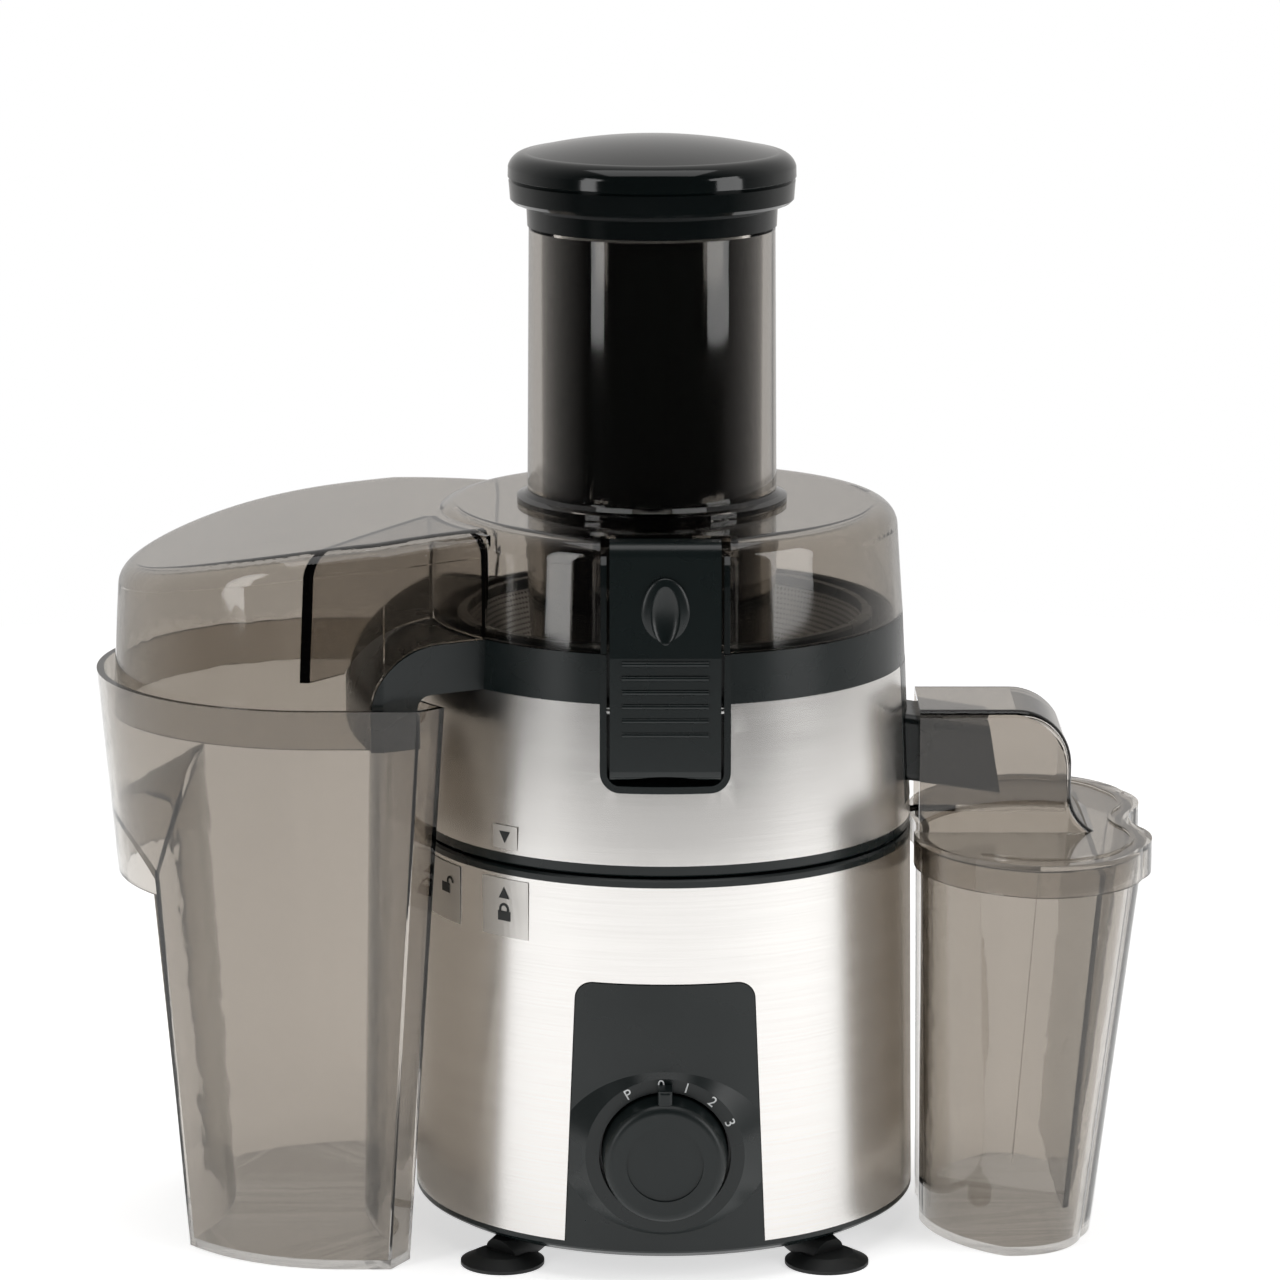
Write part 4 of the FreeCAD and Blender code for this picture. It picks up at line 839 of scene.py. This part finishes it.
@dataclass
class Rotor:
    """Motor shaft, sieve basket and grater disc."""

    finishes: Finishes
    ring_step: float = 0.0045
    first_ring: float = 0.012
    rings: int = 7
    disc_top: float = 0.1822
    tooth_size: float = 0.0009
    tooth_gap: float = 0.0038
    tooth_slimness: float = 1.8

    def build(self) -> None:
        """Makes the grater's teeth with Geometry Nodes."""
        values = {"Tooth Size": self.tooth_size, "Disc Height": self.disc_top, "Axis": AXIS_X}
        tree = GeometryTree("grater_teeth", values)
        rows = []
        size = tree.inputs.outputs["Tooth Size"]
        for ring in range(self.rings):
            radius = self.first_ring + self.ring_step * ring
            count = int(2 * math.pi * radius / self.tooth_gap)
            rows.append(tree.node("MeshCircle", {"Vertices": count, "Radius": radius}).outputs[0])
        joined = tree.node("JoinGeometry")
        for row in rows:
            tree.tree.links.new(row, joined.inputs[0])
        cone = tree.node("MeshCone", {"Vertices": 4, "Radius Top": 0.0, "Radius Bottom": size,
                                      "Depth": tree.math("MULTIPLY", size, self.tooth_slimness)})
        placed = tree.node("InstanceOnPoints", {"Points": joined.outputs[0], "Instance": cone.outputs[0]})
        place = tree.node("CombineXYZ", {"X": tree.inputs.outputs["Axis"],
                                         "Z": tree.inputs.outputs["Disc Height"]})
        moved = tree.node("Transform", {"Geometry": placed.outputs[0], "Translation": place.outputs[0]})
        tree.close(moved.outputs[0])
        mesh = tree.mesh("grater_teeth", self.finishes["turned_steel"])
        new_piece("grater_teeth", mesh, self.finishes["turned_steel"], Body.ROTOR)

    def dress(self) -> None:
        """Gives the rotor's CAD nodes their finishes."""
        self.finishes.dress_nodes("turned_steel", ("motor_shaft", "grater_disc"))
        self.finishes.dress_nodes("sieve_steel", ("basket_mesh",))
        self.finishes.dress_nodes("hub_plastic", ("basket_hub", "cooling_fan", "drive_coupling"))
        self.finishes.dress_nodes("black_plastic", ("basket_rim",))
        self.finishes.dress_nodes("copper", ("armature_windings", "commutator"))
        self.finishes.dress_nodes("lamination", ("armature_core",))


@dataclass
class Bowl:
    """Filter bowl with its steel sleeve, clear lid, feed tube and latches."""

    finishes: Finishes
    sleeve_radius: float = 0.0893
    arrow_height: float = 0.1575
    arrow_turn: float = 39.0
    arrow_size: Point = (0.0048, 0.0042)
    label_half: Point = (0.0055, 0.0042)
    notch_half: float = 0.0224
    # painted shade: a black strip stands in each gap between a latch and its notch wall; below are its width
    # and side profile
    gap_shade_width: float = 0.0020
    gap_shade_profile: tuple[Point, ...] = (
        (0.0806, 0.2266), (0.0858, 0.2266), (0.0846, 0.2500), (0.0834, 0.2575), (0.0806, 0.2600))

    def build(self) -> None:
        """Makes the lock arrow and black strips of painted shade in the gaps beside the latches."""
        self.lock_arrow()
        self.notch_gap_shade()

    def lock_arrow(self) -> None:
        """Makes the label with the arrow that shows where the bowl locks."""
        place = Wrap(self.arrow_turn, self.arrow_height, self.sleeve_radius)
        plate = slabs("arrow_label", [place.band(self.label_half)])
        new_piece("arrow_label", plate, self.finishes["clear_label"], Body.BOWL)
        over = Wrap(self.arrow_turn, self.arrow_height, self.sleeve_radius + PRINT_LIFT)
        arrow = slabs("lock_arrow", [over.outline(arrow_shape(*self.arrow_size, False))])
        new_piece("lock_arrow", arrow, self.finishes["print_black"], Body.BOWL)

    def notch_gap_shade(self) -> None:
        """Makes black strips of painted shade in the gaps between the latches and the walls of the lid's two
        notches.
        """
        # black plastic strips painted in as the shade in the gaps beside the latches
        shade_strips = []
        for way in (-1.0, 1.0):
            for side in (-1.0, 1.0):
                near, far = (side * self.notch_half, side * (self.notch_half - self.gap_shade_width))
                outline = [(Vector((AXIS_X + far, way * out, up)), Vector((AXIS_X + near, way * out, up)))
                           for out, up in self.gap_shade_profile]
                shade_strips.append(outline if way * side > 0 else outline[::-1])
        new_piece("notch_gap_shade", slabs("notch_gap_shade", shade_strips), self.finishes["black_plastic"], Body.BOWL)

    def dress(self) -> None:
        """Gives the bowl's CAD nodes their finishes."""
        self.finishes.dress_nodes("brushed_steel", ("bowl_sleeve",))
        self.finishes.dress_nodes("black_plastic", ("bowl_housing", "latch_front", "latch_rear"))
        self.finishes.dress_nodes("rubber", ("bowl_seal",))
        self.finishes.dress_nodes("turned_steel", ("latch_pins",))
        self.finishes.dress_nodes("smoky_plastic", ("lid_cover", "feed_tube"))


@dataclass
class Pusher:
    """Black food pusher with its collar and domed cap."""

    finishes: Finishes

    def build(self) -> None:
        """Adds nothing: the pusher's shape is all in the CAD."""

    def dress(self) -> None:
        """Gives the pusher's CAD nodes their finish."""
        self.finishes.dress_nodes("pusher_plastic", ("pusher_body", "pusher_collar", "pusher_cap"))


@dataclass
class Containers:
    """Pulp container on the left and juice jug with its lid on the right."""

    finishes: Finishes

    def build(self) -> None:
        """Adds nothing: the containers' shapes are all in the CAD."""

    def dress(self) -> None:
        """Gives the containers' CAD nodes their finish."""
        nodes = ("pulp_container", "juice_jug", "jug_lid", "froth_separator")
        self.finishes.dress_nodes("smoky_plastic", nodes)


# ---- Studio ----
@dataclass(frozen=True)
class Softbox:
    """Rectangular studio light."""

    name: str
    place: tuple[float, float, float]
    size: Point
    power: float


@dataclass
class Studio:
    """Pale floor, soft light and camera."""

    floor_shade: float = 0.9
    floor_radius: float = 1.12
    floor_glow: float = 0.62
    floor_corners: int = 72
    floor_roughness: float = 0.9
    view_transform: str = "Standard"
    sky_strength: float = 1.0
    shade_ends: Point = (0.3, 0.72)
    front_shade: tuple[float, float, float] = (0.03, 0.029, 0.028)
    back_shade: tuple[float, float, float] = (0.62, 0.61, 0.60)
    camera_place: tuple[float, float, float] = (0.00495, -1.9, 0.610)
    camera_tilt: float = 78.22
    lens: float = 150.8
    aim: tuple[float, float, float] = (0.0, 0.0, 0.19)
    softboxes: tuple[Softbox, ...] = field(default_factory=lambda: (
        Softbox("left_softbox", (-1.30, -1.05, 0.70), (0.42, 1.3), 7.0),
        Softbox("right_softbox", (1.50, -0.75, 0.70), (0.75, 1.3), 11.0),
        Softbox("top_softbox", (0.0, -0.2, 1.7), (1.4, 1.0), 8.0),
    ))

    def build(self) -> None:
        """Makes the floor, the lights, the sky and the camera."""
        bpy.context.scene.view_settings.view_transform = self.view_transform
        self.floor()
        self.lights()
        self.sky()
        self.camera()

    def floor(self) -> None:
        """Makes the pale floor."""
        step_angle = 360.0 / self.floor_corners
        turns = [math.radians(step_angle * step) for step in range(self.floor_corners)]
        radius = self.floor_radius
        rim = [(radius * math.cos(turn), radius * math.sin(turn), 0.0) for turn in turns]
        mesh = bpy.data.meshes.new("floor")
        mesh.from_pydata(rim, [], [list(range(len(rim)))])
        material, shader = new_material("floor")
        shader.inputs["Base Color"].default_value = (self.floor_shade,) * 3 + (1.0,)
        shader.inputs["Roughness"].default_value = self.floor_roughness
        shader.inputs["Emission Color"].default_value = (1.0, 1.0, 1.0, 1.0)
        shader.inputs["Emission Strength"].default_value = self.floor_glow
        side = material.node_tree.nodes.new("ShaderNodeNewGeometry")
        upper = math_node(material.node_tree, "SUBTRACT", 1.0, side.outputs["Backfacing"])
        material.node_tree.links.new(upper, shader.inputs["Alpha"])
        mesh.materials.append(material)
        floor = bpy.data.objects.new("floor", mesh)
        bpy.context.scene.collection.objects.link(floor)

    def lights(self) -> None:
        """Hangs the softboxes, each turned to the juicer."""
        for box in self.softboxes:
            lamp = bpy.data.lights.new(box.name, "AREA")
            lamp.shape = "RECTANGLE"
            lamp.size, lamp.size_y = box.size
            lamp.energy = box.power
            holder = bpy.data.objects.new(box.name, lamp)
            holder.location = box.place
            towards = Vector(self.aim) - Vector(box.place)
            holder.rotation_euler = towards.to_track_quat("-Z", "Y").to_euler()
            bpy.context.scene.collection.objects.link(holder)

    def sky(self) -> None:
        """Makes the surroundings: white where seen, darker towards the dial where mirrored."""
        world = bpy.data.worlds.new("studio")
        bpy.context.scene.world = world
        world.use_nodes = True
        tree = world.node_tree
        back = tree.nodes["Background"]
        place = tree.nodes.new("ShaderNodeTexCoord")
        parts = tree.nodes.new("ShaderNodeSeparateXYZ")
        tree.links.new(place.outputs["Generated"], parts.inputs[0])
        ramp = tree.nodes.new("ShaderNodeValToRGB")
        ramp.color_ramp.elements[0].position = self.shade_ends[0]
        ramp.color_ramp.elements[0].color = (*self.front_shade, 1)
        ramp.color_ramp.elements[1].position = self.shade_ends[1]
        ramp.color_ramp.elements[1].color = (*self.back_shade, 1)
        share = math_node(tree, "MULTIPLY_ADD", parts.outputs["Y"], 0.5)
        share.node.inputs[2].default_value = 0.5
        tree.links.new(share, ramp.inputs["Fac"])
        ray = tree.nodes.new("ShaderNodeLightPath")
        seen = math_node(tree, "MAXIMUM", ray.outputs["Is Camera Ray"], ray.outputs["Is Transmission Ray"])
        direct = math_node(tree, "LESS_THAN", ray.outputs["Glossy Depth"], 0.5)
        seen = math_node(tree, "MULTIPLY", seen, direct)
        mixed = mixed_colour(tree, seen, (0, 0, 0, 1), (1, 1, 1, 1))
        tree.links.new(ramp.outputs["Color"], mixed.node.inputs[6])
        tree.links.new(mixed, back.inputs["Color"])
        back.inputs["Strength"].default_value = self.sky_strength

    def camera(self) -> None:
        """Places the camera."""
        data = bpy.data.cameras.new("camera")
        data.lens = self.lens
        data.sensor_width = 36.0
        camera = bpy.data.objects.new("camera", data)
        camera.location = self.camera_place
        camera.rotation_euler = (math.radians(self.camera_tilt), 0.0, 0.0)
        bpy.context.scene.collection.objects.link(camera)
        bpy.context.scene.camera = camera


def main() -> None:
    """Builds and dresses the juicer, then its studio."""
    logging.basicConfig(level=logging.INFO, format="%(name)s: %(message)s")
    finishes = Finishes()
    for assembly in (Base(finishes), Dial(finishes), Rotor(finishes), Bowl(finishes), Pusher(finishes),
                     Containers(finishes)):
        assembly.build()
        assembly.dress()
    Studio().build()


if __name__ == "__main__":
    main()
